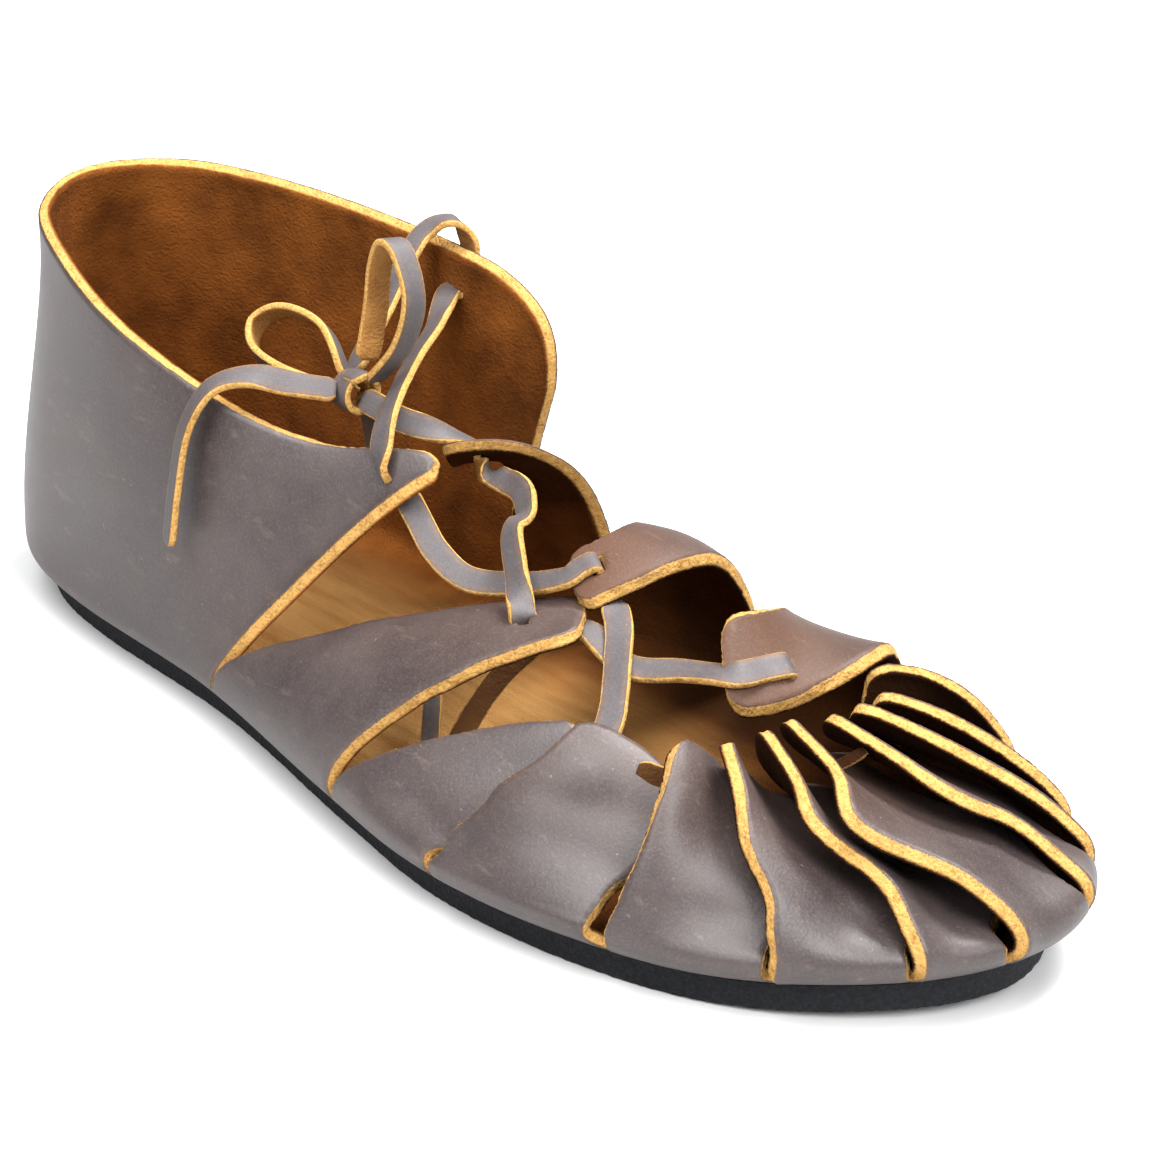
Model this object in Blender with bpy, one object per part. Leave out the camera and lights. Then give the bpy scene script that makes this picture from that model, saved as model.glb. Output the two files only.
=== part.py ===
"""Laced peasant shoe for the right foot.

One thick hide is turned up round the foot. Its rim is cut into flaps that fan over the toes and
reach across the instep, and a flat thong through a hole in each flap draws them together.
A thin foam-rubber sole is glued underneath.

Frame: +Z up, +X towards the toe, +Y towards the inner side of the foot. The origin lies on the
floor, under the middle of the sole. Sizes are in millimetres and become metres through MM.
"""

from collections import namedtuple
import math

import bmesh
import bpy
from mathutils import Vector
import numpy as np

MM = 0.001

# Driving dimensions
SOLE_THICKNESS = 6.0
SOLE_EDGE_ROUND = 1.2
TOE_SPRING = 3.0
TOE_SPRING_START_X = 92.0
TOE_SPRING_LENGTH = 48.0
HIDE_THICKNESS = 2.2
SEAT_GAP = 0.3
EDGE_INSET = 3.0
EDGE_RISE = 8.0
SLIT_WIDTH = 1.8
HOLE_FROM_TIP = 5.5
HOLE_LENGTH = 4.5
THONG_WIDTH = 5.5
THONG_THICKNESS = 1.6
HIDE_FLOOR = SOLE_THICKNESS + SEAT_GAP + HIDE_THICKNESS / 2

# The sole's edge, from the back of the heel round the outer side, the toe and the inner side.
# overhang is how far the turned-up hide swells past the edge there.
EdgePoint = namedtuple("EdgePoint", "x y overhang")
SOLE_EDGE = [
    EdgePoint(-136, 0, 4.0),
    EdgePoint(-131, -16, 4.0),
    EdgePoint(-116, -28, 4.5),
    EdgePoint(-90, -33, 4.5),
    EdgePoint(-40, -35, 4.5),
    EdgePoint(10, -43, 4.5),
    EdgePoint(45, -47, 4.5),
    EdgePoint(80, -42, 4.0),
    EdgePoint(110, -30, 4.0),
    EdgePoint(130, -13, 4.0),
    EdgePoint(139, 5, 4.0),
    EdgePoint(136, 21, 6.5),
    EdgePoint(122, 35, 6.5),
    EdgePoint(93, 44, 5.5),
    EdgePoint(58, 45, 5.0),
    EdgePoint(20, 39, 5.0),
    EdgePoint(-25, 30, 5.0),
    EdgePoint(-75, 29, 4.5),
    EdgePoint(-114, 27, 4.5),
    EdgePoint(-131, 16, 4.0),
]
TOE_POINT_INDEX = 10
SAMPLES_PER_SPAN = 64

# Flaps in order round the rim, from the outer instep over the toes to the inner instep.
# start and end are places along the sole's edge, in millimetres from the toe, outer side negative.
# slit_start and slit_end are how far up the turned-up edge the cuts reach, in degrees of its curve.
# tip is the middle of the flap's end; heading and pitch point the end, roll lifts its leading edge.
# rise and run are the lengths of the curve's handles at the edge and at the tip.
# lap carries the trailing edge under the next flap, as a share of the width, and tuck lowers it there.
# lift raises the leading edge, crown rounds the flap across and wave sways the leading edge sideways.
# hole is the stretch across the flap that its thong hole takes: in the middle where the thong shows,
# or near the trailing edge, where the next flap covers it. The next flap holds the end of one with none.
MIDDLE_HOLE = (0.3, 0.7)
COVERED_HOLE = (0.7, 0.9)
NO_HOLE = (0.5, 0.5)
Flap = namedtuple(
    "Flap",
    "name start end slit_start slit_end tip_x tip_y tip_z width heading pitch roll rise run"
    " lap tuck lift crown wave hole",
)
FLAPS = [
    Flap("outer_back", -196, -144, 78, 70, 44, -9, 47,
         19, 43, 4, -5, 11, 13, 0, 0, 0, 2.5, 0, MIDDLE_HOLE),
    Flap("outer_mid", -144, -112, 70, 45, 60, -29.5, 32.5,
         15, 37, 3, 24, 7, 15, 0.4, 7, 0, 0, 0, NO_HOLE),
    Flap("outer_front", -112, -72.5, 45, 42, 73.5, -23.5, 38,
         17, 104, 8, 8, -3, 12, 0.1, 3, 0.5, 2, 0, NO_HOLE),
    Flap("toe_1", -72.5, -42.5, 42, 38, 86, -18.7, 41,
         12, 138, 15, 12, 2, 15, 0.2, 4, 0.3, 2, 0, COVERED_HOLE),
    Flap("toe_2", -42.5, -18.5, 38, 42, 91.5, -13.4, 41.5,
         11, 154, 20, 18, 6, 14, 0.5, 5, 0.3, 1.5, 0, COVERED_HOLE),
    Flap("toe_3", -18.5, -1.5, 42, 44, 93.3, -7.3, 42.5,
         11, 164, 23, 22, 4, 15, 0.8, 5.5, 0.3, 1, 0, COVERED_HOLE),
    Flap("toe_4", -1.5, 16, 44, 66, 95.8, -1.5, 43,
         11, 172, 25, 22, 7, 18, 0.9, 5.5, 0.3, 1.5, 0.4, COVERED_HOLE),
    Flap("toe_5", 16, 27, 66, 72, 96.7, 4.3, 43,
         11, 194, 20, 20, 6, 14, 1.1, 5.5, 0, 1, 0.1, COVERED_HOLE),
    Flap("toe_6", 27, 38, 72, 74, 97, 10, 43,
         11, 210, 14, 20, 8, 15, 1.1, 5.5, 0, 1, 0, COVERED_HOLE),
    Flap("toe_7", 38, 54, 74, 76, 97, 15.5, 43,
         11, 221, 10, 20, 8, 15, 0.8, 5.5, 0, 1, 0, COVERED_HOLE),
    Flap("toe_8", 54, 84, 76, 76, 90, 18.5, 44,
         13, 240, -2, 20, 8, 18, 0.3, 7, 0.3, 2, 0, COVERED_HOLE),
    Flap("inner_front", 84, 122, 76, 76, 75, -2.5, 45,
         20, 232, -8, -26, 21, 18, 0, 0, 0, 2, 0, MIDDLE_HOLE),
    Flap("inner_mid", 122, 158, 76, 76, 36, -3, 51.5,
         16, 228, -24, -18, 29, 22, 0, 0, 0, 2.5, 0, MIDDLE_HOLE),
    Flap("inner_back", 158, 190, 76, 78, -12, 4, 61,
         16, 224, -14, 14, 18, 27, 0, 2, 0, 2, 0, MIDDLE_HOLE),
]
FLAP_COLUMNS = [0.0, 0.15, 0.3, 0.5, 0.7, 0.9, 1.0]
FLAP_BODY_ROWS = 9
TIP_ROUND = 3.5

# Ribs of the quarters and heel, from the inner front edge round the heel to the outer front edge.
# place is along the sole's edge from the toe; slit is how far up the turned-up edge the rib begins.
# top is the rib's end on the collar; rise and run are its curve's handles at the edge and at the top.
# heading and pitch point the rib's end.
Rib = namedtuple("Rib", "place slit top_x top_y top_z rise run heading pitch")
QUARTER_RIBS = [
    Rib(190, 78, -17, 39, 67, 14, 18, 10, 74),
    Rib(198, 80, -21, 39, 77, 18, 18, 30, 79),
    Rib(208, 82, -31, 39, 83, 22, 18, 60, 84),
    Rib(224, 86, -46, 38, 86, 24, 20, 90, 86),
    Rib(250, 90, -77, 35, 88.5, 26, 24, 90, 88),
    Rib(278, 90, -108, 27, 91, 28, 26, 40, 84),
    Rib(294, 90, -124, 16, 92.5, 28, 26, 20, 83),
    Rib(310, 90, -131, 0, 93, 28, 26, 0, 82),
    Rib(326, 90, -124, -16, 92, 28, 26, -20, 83),
    Rib(342, 90, -108, -27, 89.5, 28, 26, -40, 84),
    Rib(370, 90, -74, -34, 81, 24, 22, 60, 84),
    Rib(396, 86, -42, -28, 70, 20, 18, 60, 60),
    Rib(410, 82, -22, -19, 65, 14, 18, 56, 36),
    Rib(420, 80, -2, -10, 67.5, 7, 16, 52, 24),
    Rib(424, 78, 2, -9, 63.5, 1, 12, 50, 20),
]
QUARTER_COLUMNS = 44
QUARTER_ROWS = 10
# Rows of the turned-up edge below the slits, all round the rim.
RING_ROWS = 3

# Holes in the quarters, at shares along the ribs and up the wall.
QuarterHole = namedtuple("QuarterHole", "name along_rim up_wall")
QUARTER_HOLES = [
    QuarterHole("outer_quarter", 0.952, 0.86),
    QuarterHole("inner_quarter", 0.215, 0.90),
]

# Runs of the thong between holes. At its ends a run lies over or under the flap as far as its tip,
# or it goes in to the hole or comes out of it at once.
# A waypoint's heading and pitch are the way the thong's grain side faces there.
Waypoint = namedtuple("Waypoint", "x y z heading pitch")
ThongRun = namedtuple("ThongRun", "name start start_way end end_way waypoints")
THONG_CLEARANCE = 0.8
HOLE_STANDOFF = 1.2
THONG_STEPS = 4
FRONT_CROSSING = [
    ThongRun("front_rising", "outer_front", "under", "inner_mid", "in", [
        Waypoint(66, -17, 39.5, -40, 55),
        Waypoint(57, -10.2, 43, -40, 55),
        Waypoint(48.5, -3, 47.5, -40, 60),
    ]),
    ThongRun("front_level", "inner_front", "over", "outer_back", "under", [
        Waypoint(67, -5.5, 43.5, -30, 65),
        Waypoint(57, -9.6, 42, -40, 65),
    ]),
]
MID_CROSSING = [
    ThongRun("mid_level", "inner_mid", "over", "outer_quarter", "in", [
        Waypoint(23, -9, 48.6, -60, 60),
        Waypoint(10, -12, 46, -50, 50),
        Waypoint(0, -10.5, 50.5, -40, 40),
    ]),
    ThongRun("mid_rising", "outer_back", "out", "inner_back", "in", [
        Waypoint(24, -9.2, 50, -70, 45),
        Waypoint(21.5, -5.5, 56, -50, 20),
        Waypoint(20, -1, 60.5, -30, 30),
        Waypoint(9, 3.5, 60, -20, 40),
        Waypoint(1, 6.5, 57.5, -20, 45),
    ]),
]
TOP_CROSSING = [
    ThongRun("top_rising", "outer_quarter", "out", "inner_quarter", "in", [
        Waypoint(-10.5, -15.5, 68, -60, 25),
        Waypoint(-15.5, -6, 71.2, -60, 30),
        Waypoint(-24, 9, 76.5, -60, 20),
    ]),
    ThongRun("top_level", "inner_back", "out", "", "", [
        Waypoint(-15.5, -5.2, 70.1, -50, 40),
        Waypoint(-20, -6.2, 70.6, -55, 30),
        Waypoint(-23.5, -6.75, 70.95, -60, 20),
    ]),
]

# The bow: loose cord past the last crossing, each a smooth line through its points.
CORD_RADIUS = 1.3
CORD_STEPS = 5
Cord = namedtuple("Cord", "name points")
CORDS = [
    Cord("lace_over_collar", [
        (-47, 40.2, 78.5), (-46.5, 40.5, 86), (-49, 37.5, 92.5),
        (-52, 30.5, 89), (-44, 14, 79), (-33.2, -2.6, 73.2),
    ]),
    Cord("lace_loop_front", [
        (-25.2, -3.8, 73.8), (-18, -1.8, 83), (-15.5, -0.5, 93), (-20, 0.5, 101.5),
        (-25, 1, 102.5), (-28, 1, 97), (-28.5, 0, 88), (-27.9, -3.2, 77.3),
    ]),
    Cord("lace_loop_back", [
        (-31.5, -6.2, 73.2), (-42, -3, 80), (-53, -5, 81.5), (-58, -9, 78),
        (-53, -13, 74.5), (-43, -13, 72.5), (-31.9, -9.6, 71.1),
    ]),
    Cord("lace_end_outer", [
        (-28.1, -11.4, 72.8), (-33, -18, 74.5), (-38.5, -25, 76.5), (-43, -32, 74.5),
        (-45.5, -37, 66), (-46, -40.3, 53), (-46, -42.5, 42),
    ]),
    Cord("lace_end_inner", [
        (-29.75, -3.55, 69.55), (-36, 3, 63), (-39, 7, 54),
        (-41, 9, 44), (-44, 11, 36),
    ]),
]
KNOT_CENTRE = Vector((-27.5, -7, 71.5))
KNOT_RADIUS = 2.4
KNOT_TURNS = 2
KNOT_PITCH = 3.0
KNOT_POINTS = 28


def smoothstep(value):
    value = min(max(value, 0.0), 1.0)
    return value * value * (3 - 2 * value)


def catmull_rom(p0, p1, p2, p3, t):
    return 0.5 * (2 * p1 + (p2 - p0) * t + (2 * p0 - 5 * p1 + 4 * p2 - p3) * t**2
                  + (3 * p1 - p0 - 3 * p2 + p3) * t**3)


class SoleEdge:
    """The closed sole edge, read by its length from the toe."""

    def __init__(self, rows):
        table = np.array(rows, float)
        count = len(table)
        samples = []
        for i in range(count):
            knots = [table[(i + k) % count] for k in (-1, 0, 1, 2)]
            steps = np.arange(SAMPLES_PER_SPAN) / SAMPLES_PER_SPAN
            samples += [catmull_rom(*knots, t) for t in steps]
        self.samples = np.array(samples + samples[:1])
        steps = np.diff(self.samples[:, :2], axis=0)
        self.lengths = np.concatenate([[0], np.cumsum(np.linalg.norm(steps, axis=1))])
        self.total = self.lengths[-1]
        self.toe = self.lengths[TOE_POINT_INDEX * SAMPLES_PER_SPAN]

    def read(self, place):
        """x, y and overhang at a place along the edge."""
        length = (place + self.toe) % self.total
        return [np.interp(length, self.lengths, self.samples[:, k]) for k in range(3)]

    def outward(self, place):
        step = 1.0
        ahead = self.read(place + step)
        behind = self.read(place - step)
        along = Vector((ahead[0] - behind[0], ahead[1] - behind[1])).normalized()
        return Vector((along.y, -along.x, 0))


EDGE = SoleEdge(SOLE_EDGE)


def toe_lift(x):
    """Height of the sole's underside over the floor."""
    return TOE_SPRING * smoothstep((x - TOE_SPRING_START_X) / TOE_SPRING_LENGTH)


def turned_edge(place, degrees):
    """Middle of the hide's wall where it turns up round the sole's edge."""
    x, y, overhang = EDGE.read(place)
    angle = math.radians(degrees)
    offset = (EDGE_INSET + overhang) * math.sin(angle) - EDGE_INSET
    point = Vector((x, y, 0)) + EDGE.outward(place) * offset
    point.z = HIDE_FLOOR + toe_lift(x) + EDGE_RISE * (1 - math.cos(angle))
    return point


def pointing(heading, pitch):
    """Unit vector from a plan angle and an angle above the floor, in degrees."""
    flat = math.cos(math.radians(pitch))
    turn = math.radians(heading)
    return Vector((flat * math.cos(turn), flat * math.sin(turn), math.sin(math.radians(pitch))))


def bezier(p0, p1, p2, p3, t):
    s = 1 - t
    return p0 * s**3 + p1 * (3 * s * s * t) + p2 * (3 * s * t * t) + p3 * t**3


class Wall:
    """A path up the hide: round the turned-up edge, then along a curve to the tip."""

    EDGE_STEPS = 6
    CURVE_STEPS = 24

    def __init__(self, place, slit, rise, before_tip, tip):
        widest = turned_edge(place, 90)
        above = widest + Vector((0, 0, rise))
        turns = [slit + (90 - slit) * k / self.EDGE_STEPS for k in range(self.EDGE_STEPS)]
        points = [turned_edge(place, turn) for turn in turns]
        shares = [k / self.CURVE_STEPS for k in range(self.CURVE_STEPS + 1)]
        points += [bezier(widest, above, before_tip, tip, share) for share in shares]
        self.points = np.array(points)
        gaps = np.linalg.norm(np.diff(self.points, axis=0), axis=1)
        self.lengths = np.concatenate([[0], np.cumsum(gaps)])
        self.length = self.lengths[-1]

    def at(self, distance):
        return Vector([np.interp(distance, self.lengths, self.points[:, k]) for k in range(3)])


def flap_wall(flap, across):
    """The wall path at a share across a flap, from its leading edge 0 to its trailing edge 1."""
    margin = SLIT_WIDTH / 2
    place = flap.start + margin + (flap.end - flap.start - SLIT_WIDTH) * across
    slit = flap.slit_start + (flap.slit_end - flap.slit_start) * across
    ahead = pointing(flap.heading, flap.pitch)
    level = Vector((0, 0, 1)).cross(ahead).normalized()
    upward = ahead.cross(level)
    roll = math.radians(flap.roll)
    side = level * math.cos(roll) + upward * math.sin(roll)
    tip = Vector((flap.tip_x, flap.tip_y, flap.tip_z)) + side * (flap.width * (0.5 - across))
    return Wall(place, slit, flap.rise, tip - ahead * flap.run, tip)


def tip_share(across):
    """How much of TIP_ROUND the rounded end of a flap is cut back at a share across it."""
    side = min(abs(2 * across - 1), 1.0)
    return 1 - (1 - side**3) ** (1 / 3)


def plain_point(flap, across, along):
    """A flap's wall before it is lapped: a share across it and a share along it, slit 0 to tip 1."""
    wall = flap_wall(flap, across)
    return wall.at((wall.length - TIP_ROUND * tip_share(across)) * along)


def flap_point(flap, across, along):
    """Middle of a flap's wall at a share across it and a share along it."""
    nudge = 0.02
    settled = smoothstep((along - 0.12) / 0.3)
    sway = math.sin(math.pi * smoothstep((along - 0.1) / 0.75))
    shifted = across + flap.lap * across**2 * settled - flap.wave * (1 - across) ** 2 * sway
    point = plain_point(flap, shifted, along)
    over = plain_point(flap, shifted + nudge, along) - plain_point(flap, shifted - nudge, along)
    ahead, behind = min(along + nudge, 1), max(along - nudge, 0)
    up = plain_point(flap, shifted, ahead) - plain_point(flap, shifted, behind)
    normal = over.cross(up).normalized()
    raised = flap.lift * (1 - across) ** 2 - flap.tuck * across**2
    swell = flap.crown * 4 * across * (1 - across) * math.sin(math.pi * along)
    return point + normal * (raised * smoothstep(along / 0.3) + swell)


def flap_rows(flap):
    """Shares along a flap, with two rows that bound its thong hole."""
    length = flap_wall(flap, 0.5).length
    hole_end = 1 - HOLE_FROM_TIP / length
    hole_start = hole_end - HOLE_LENGTH / length
    body = [hole_start * k / FLAP_BODY_ROWS for k in range(FLAP_BODY_ROWS + 1)]
    return body + [hole_end, 1.0]


class HideSheet:
    """The hide's middle surface, as a grid of columns round the rim."""

    def __init__(self):
        self.mesh = bmesh.new()
        self.rims = []

    def add_ring_column(self, place, slit):
        turns = [slit * row / RING_ROWS for row in range(RING_ROWS + 1)]
        column = [self.mesh.verts.new(turned_edge(place, turn) * MM) for turn in turns]
        self.rims.append(column)
        return column

    def skin(self, left, right, skip=()):
        """Joins two neighbouring columns with faces, apart from the rows to skip."""
        for row in range(len(left) - 1):
            if row not in skip:
                self.mesh.faces.new((left[row], right[row], right[row + 1], left[row + 1]))

    def add_flap(self, flap):
        rows = flap_rows(flap)
        hole_row = FLAP_BODY_ROWS
        columns = []
        for across in FLAP_COLUMNS:
            margin = SLIT_WIDTH / 2
            place = flap.start + margin + (flap.end - flap.start - SLIT_WIDTH) * across
            slit = flap.slit_start + (flap.slit_end - flap.slit_start) * across
            ring = self.add_ring_column(place, slit)
            points = [flap_point(flap, across, along) for along in rows[1:]]
            columns.append([ring[-1]] + [self.mesh.verts.new(point * MM) for point in points])
        for number, (left, right) in enumerate(zip(columns, columns[1:])):
            holed = flap.hole[0] <= FLAP_COLUMNS[number] and FLAP_COLUMNS[number + 1] <= flap.hole[1]
            self.skin(left, right, skip=(hole_row,) if holed else ())

    def add_quarters(self):
        columns = []
        for number in range(QUARTER_COLUMNS + 1):
            wall, place, slit = quarter_wall(number / QUARTER_COLUMNS)
            ring = self.add_ring_column(place, slit)
            distances = [wall.length * row / QUARTER_ROWS for row in range(1, QUARTER_ROWS + 1)]
            verts = [self.mesh.verts.new(wall.at(distance) * MM) for distance in distances]
            columns.append([ring[-1]] + verts)
        for left, right in zip(columns, columns[1:]):
            self.skin(left, right)

    def close_bottom(self):
        for left, right in zip(self.rims, self.rims[1:] + self.rims[:1]):
            self.skin(left, right)
        floor = self.mesh.faces.new([column[0] for column in reversed(self.rims)])
        bmesh.ops.triangulate(self.mesh, faces=[floor], ngon_method="BEAUTY")


def quarter_wall(share):
    """The wall path at a share along the quarters, with its place and slit."""
    spans = len(QUARTER_RIBS) - 1
    span = min(int(share * spans), spans - 1)
    t = share * spans - span
    table = np.array(QUARTER_RIBS, float)
    knots = [table[min(max(span + k, 0), spans)] for k in (-1, 0, 1, 2)]
    rib = Rib(*catmull_rom(*knots, t))
    tip = Vector((rib.top_x, rib.top_y, rib.top_z))
    ahead = pointing(rib.heading, rib.pitch)
    margin = SLIT_WIDTH / 2
    first = FLAPS[-1].end + margin
    last = EDGE.total + FLAPS[0].start - margin
    reach = (rib.place - QUARTER_RIBS[0].place) / (QUARTER_RIBS[-1].place - QUARTER_RIBS[0].place)
    place = first + (last - first) * reach
    return Wall(place, rib.slit, rib.rise, tip - ahead * rib.run, tip), place, rib.slit


def quarter_point(along_rim, up_wall):
    """Middle of the quarters' wall, and the way it faces there."""
    nudge = 0.01

    def plain(rim, height):
        wall = quarter_wall(rim)[0]
        return wall.at(wall.length * height)

    over = plain(along_rim + nudge, up_wall) - plain(along_rim - nudge, up_wall)
    up = plain(along_rim, up_wall + nudge) - plain(along_rim, up_wall - nudge)
    return plain(along_rim, up_wall), over.cross(up).normalized(), up.normalized()


def hole_frame(name):
    """Centre of a thong hole, the way the hide faces there and the way to the hide's edge."""
    for hole in QUARTER_HOLES:
        if hole.name == name:
            return quarter_point(hole.along_rim, hole.up_wall)
    flap = next(flap for flap in FLAPS if flap.name == name)
    rows = flap_rows(flap)
    centre = (rows[FLAP_BODY_ROWS] + rows[FLAP_BODY_ROWS + 1]) / 2
    middle = sum(flap.hole) / 2
    point = flap_point(flap, middle, centre)
    ahead = (flap_point(flap, middle, 1.0) - point).normalized()
    over = flap_point(flap, middle + 0.1, centre) - flap_point(flap, middle - 0.1, centre)
    return point, over.cross(ahead).normalized(), ahead


def thong_end(name, way):
    """Where a thong ends beside a hole, and the point where it leaves the flap's tip."""
    point, normal, ahead = hole_frame(name)
    offset = HIDE_THICKNESS / 2 + THONG_CLEARANCE + THONG_THICKNESS / 2
    outer = 1 if way in ("over", "out") else -1
    if way in ("in", "out"):
        return [(point + normal * (outer * (offset + HOLE_STANDOFF)), normal)]
    seat = point + normal * (outer * offset)
    past = seat + ahead * (HOLE_FROM_TIP + HOLE_LENGTH / 2 + 1.5)
    return [(seat, normal), (past, normal)]


def thong_path(run):
    """Smooth centre line of a run of thong, with its facing at each point."""
    middle = [(Vector(way[:3]), pointing(way.heading, way.pitch)) for way in run.waypoints]
    stops = thong_end(run.start, run.start_way) + middle
    if run.end:
        stops += reversed(thong_end(run.end, run.end_way))
    knots = [stops[0]] + stops + [stops[-1]]
    path = []
    for k in range(len(stops) - 1):
        for step in range(THONG_STEPS):
            share = step / THONG_STEPS
            point = catmull_rom(*[knots[k + j][0] for j in range(4)], share)
            facing = knots[k + 1][1].lerp(knots[k + 2][1], share)
            path.append((point, facing))
    return path + [stops[-1]]


def thong_mesh(run):
    """A flat thong swept along a run."""
    path = thong_path(run)
    mesh = bmesh.new()
    rings = []
    for k, (point, facing) in enumerate(path):
        ahead = (path[min(k + 1, len(path) - 1)][0] - path[max(k - 1, 0)][0]).normalized()
        across = ahead.cross(facing).normalized() * (THONG_WIDTH / 2)
        upward = across.cross(ahead).normalized() * (THONG_THICKNESS / 2)
        corners = [across + upward, upward - across, -across - upward, across - upward]
        rings.append([mesh.verts.new((point + corner) * MM) for corner in corners])
    for near, far in zip(rings, rings[1:]):
        for k in range(4):
            following = (k + 1) % 4
            mesh.faces.new((near[k], near[following], far[following], far[k]))
    mesh.faces.new(rings[0])
    mesh.faces.new(list(reversed(rings[-1])))
    return mesh


def make_crossing(name, runs, material):
    """Two runs of thong joined where one lies over the other."""
    piece = add_object(name, thong_mesh(runs[0]), material)
    other = add_object(runs[1].name, thong_mesh(runs[1]), material)
    other.hide_render = True
    other.display_type = "WIRE"
    join = piece.modifiers.new("crossing", "BOOLEAN")
    join.operation = "UNION"
    join.solver = "EXACT"
    join.object = other
    return piece


def smooth_line(points):
    """Points of a smooth line through the given ones."""
    knots = [Vector(point) for point in [points[0], *points, points[-1]]]
    line = []
    for k in range(len(points) - 1):
        line += [catmull_rom(*knots[k:k + 4], step / CORD_STEPS) for step in range(CORD_STEPS)]
    return line + [knots[-1]]


def knot_line():
    """Two turns of cord side by side."""
    line = []
    for k in range(KNOT_POINTS + 1):
        share = k / KNOT_POINTS
        turn = 2 * math.pi * KNOT_TURNS * share
        along = KNOT_PITCH * KNOT_TURNS * (share - 0.5)
        round_x = KNOT_RADIUS * math.cos(turn)
        round_z = KNOT_RADIUS * math.sin(turn)
        line.append(KNOT_CENTRE + Vector((round_x, along, round_z)))
    return line


def make_cord(name, line, material):
    data = bpy.data.curves.new(name, "CURVE")
    data.dimensions = "3D"
    data.bevel_depth = CORD_RADIUS * MM
    data.bevel_resolution = 0
    data.use_fill_caps = True
    spline = data.splines.new("POLY")
    spline.points.add(len(line) - 1)
    for spot, point in zip(spline.points, line):
        spot.co = (*(point * MM), 1)
    data.materials.append(material)
    piece = bpy.data.objects.new(name, data)
    bpy.context.scene.collection.objects.link(piece)
    return piece


def cut_quarter_holes(upper, material):
    for hole in QUARTER_HOLES:
        point, normal, ahead = quarter_point(hole.along_rim, hole.up_wall)
        across = normal.cross(ahead).normalized()
        mesh = bmesh.new()
        bmesh.ops.create_cube(mesh, size=1)
        for vert in mesh.verts:
            x, y, z = vert.co
            spot = point + ahead * (x * HOLE_LENGTH) + across * (y * HOLE_LENGTH) + normal * (z * 8)
            vert.co = spot * MM
        cutter = add_object(hole.name + "_hole", mesh, material)
        cutter.hide_render = True
        cutter.display_type = "WIRE"
        cut = upper.modifiers.new(hole.name + "_hole", "BOOLEAN")
        cut.operation = "DIFFERENCE"
        cut.solver = "EXACT"
        cut.object = cutter


def leather_material(name, color, roughness):
    material = bpy.data.materials.new(name)
    material.use_nodes = True
    shader = material.node_tree.nodes["Principled BSDF"]
    shader.inputs["Base Color"].default_value = (*color, 1)
    shader.inputs["Roughness"].default_value = roughness
    shader.inputs["Metallic"].default_value = 0
    return material


def add_object(name, mesh, material):
    data = bpy.data.meshes.new(name)
    mesh.normal_update()
    bmesh.ops.recalc_face_normals(mesh, faces=mesh.faces[:])
    mesh.to_mesh(data)
    mesh.free()
    data.shade_smooth()
    data.materials.append(material)
    piece = bpy.data.objects.new(name, data)
    bpy.context.scene.collection.objects.link(piece)
    return piece


def make_upper(material):
    sheet = HideSheet()
    for flap in FLAPS:
        sheet.add_flap(flap)
    sheet.add_quarters()
    sheet.close_bottom()
    piece = add_object("upper", sheet.mesh, material)
    wall = piece.modifiers.new("hide_thickness", "SOLIDIFY")
    wall.thickness = HIDE_THICKNESS * MM
    wall.offset = 0
    wall.use_even_offset = True
    return piece


def make_outsole(material):
    """A flat rubber slab with a rounded lower edge and a little toe spring."""
    half_count = 36
    mesh = bmesh.new()
    levels = [(0.0, SOLE_EDGE_ROUND), (SOLE_EDGE_ROUND, 0.0), (SOLE_THICKNESS, 0.0)]
    loops = []
    half = EDGE.total / 2
    places = [-half + EDGE.total * k / (2 * half_count) for k in range(2 * half_count)]
    for height, inset in levels:
        loop = []
        for place in places:
            x, y, _ = EDGE.read(place)
            point = Vector((x, y, height + toe_lift(x))) - EDGE.outward(place) * inset
            loop.append(mesh.verts.new(point * MM))
        loops.append(loop)
    count = len(places)
    for low, high in zip(loops, loops[1:]):
        for k in range(count):
            following = (k + 1) % count
            mesh.faces.new((low[k], low[following], high[following], high[k]))
    for loop in (loops[0], loops[-1]):
        for k in range(half_count):
            mirror, mirror_next = (-k) % count, (-k - 1) % count
            corners = [loop[k], loop[k + 1], loop[mirror_next], loop[mirror]]
            distinct = list(dict.fromkeys(corners))
            mesh.faces.new(distinct)
    return add_object("outsole", mesh, material)


def main():
    for old in list(bpy.data.objects):
        bpy.data.objects.remove(old)
    hide = leather_material("dark_brown_hide", (0.075, 0.052, 0.045), 0.5)
    rubber = leather_material("black_foam_rubber", (0.016, 0.018, 0.022), 0.85)
    thong = leather_material("thong_leather", (0.105, 0.082, 0.075), 0.55)
    upper = make_upper(hide)
    cut_quarter_holes(upper, hide)
    make_outsole(rubber)
    make_crossing("lace_front_crossing", FRONT_CROSSING, thong)
    make_crossing("lace_mid_crossing", MID_CROSSING, thong)
    make_crossing("lace_top_crossing", TOP_CROSSING, thong)
    make_cord("lace_knot", knot_line(), thong)
    for cord in CORDS:
        make_cord(cord.name, smooth_line(cord.points), thong)


main()
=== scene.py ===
# %% [markdown]
# # A laced peasant shoe
#
# This shoe is made in one of the oldest ways. One thick oiled hide is turned up round the foot, its
# rim is cut into flaps, and a flat thong through the flaps draws them together over the toes and the
# instep. A thin foam-rubber sole is glued underneath. The packed solids give every size and place.
# This lesson makes the finer pieces that stand for them: the hide with its raw cut edges, the crumbly
# sole, the thong that runs through its slits, and the bow.

from collections import namedtuple
import math

import bmesh
import bpy
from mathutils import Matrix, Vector, noise
from mathutils.kdtree import KDTree
import numpy as np


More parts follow.
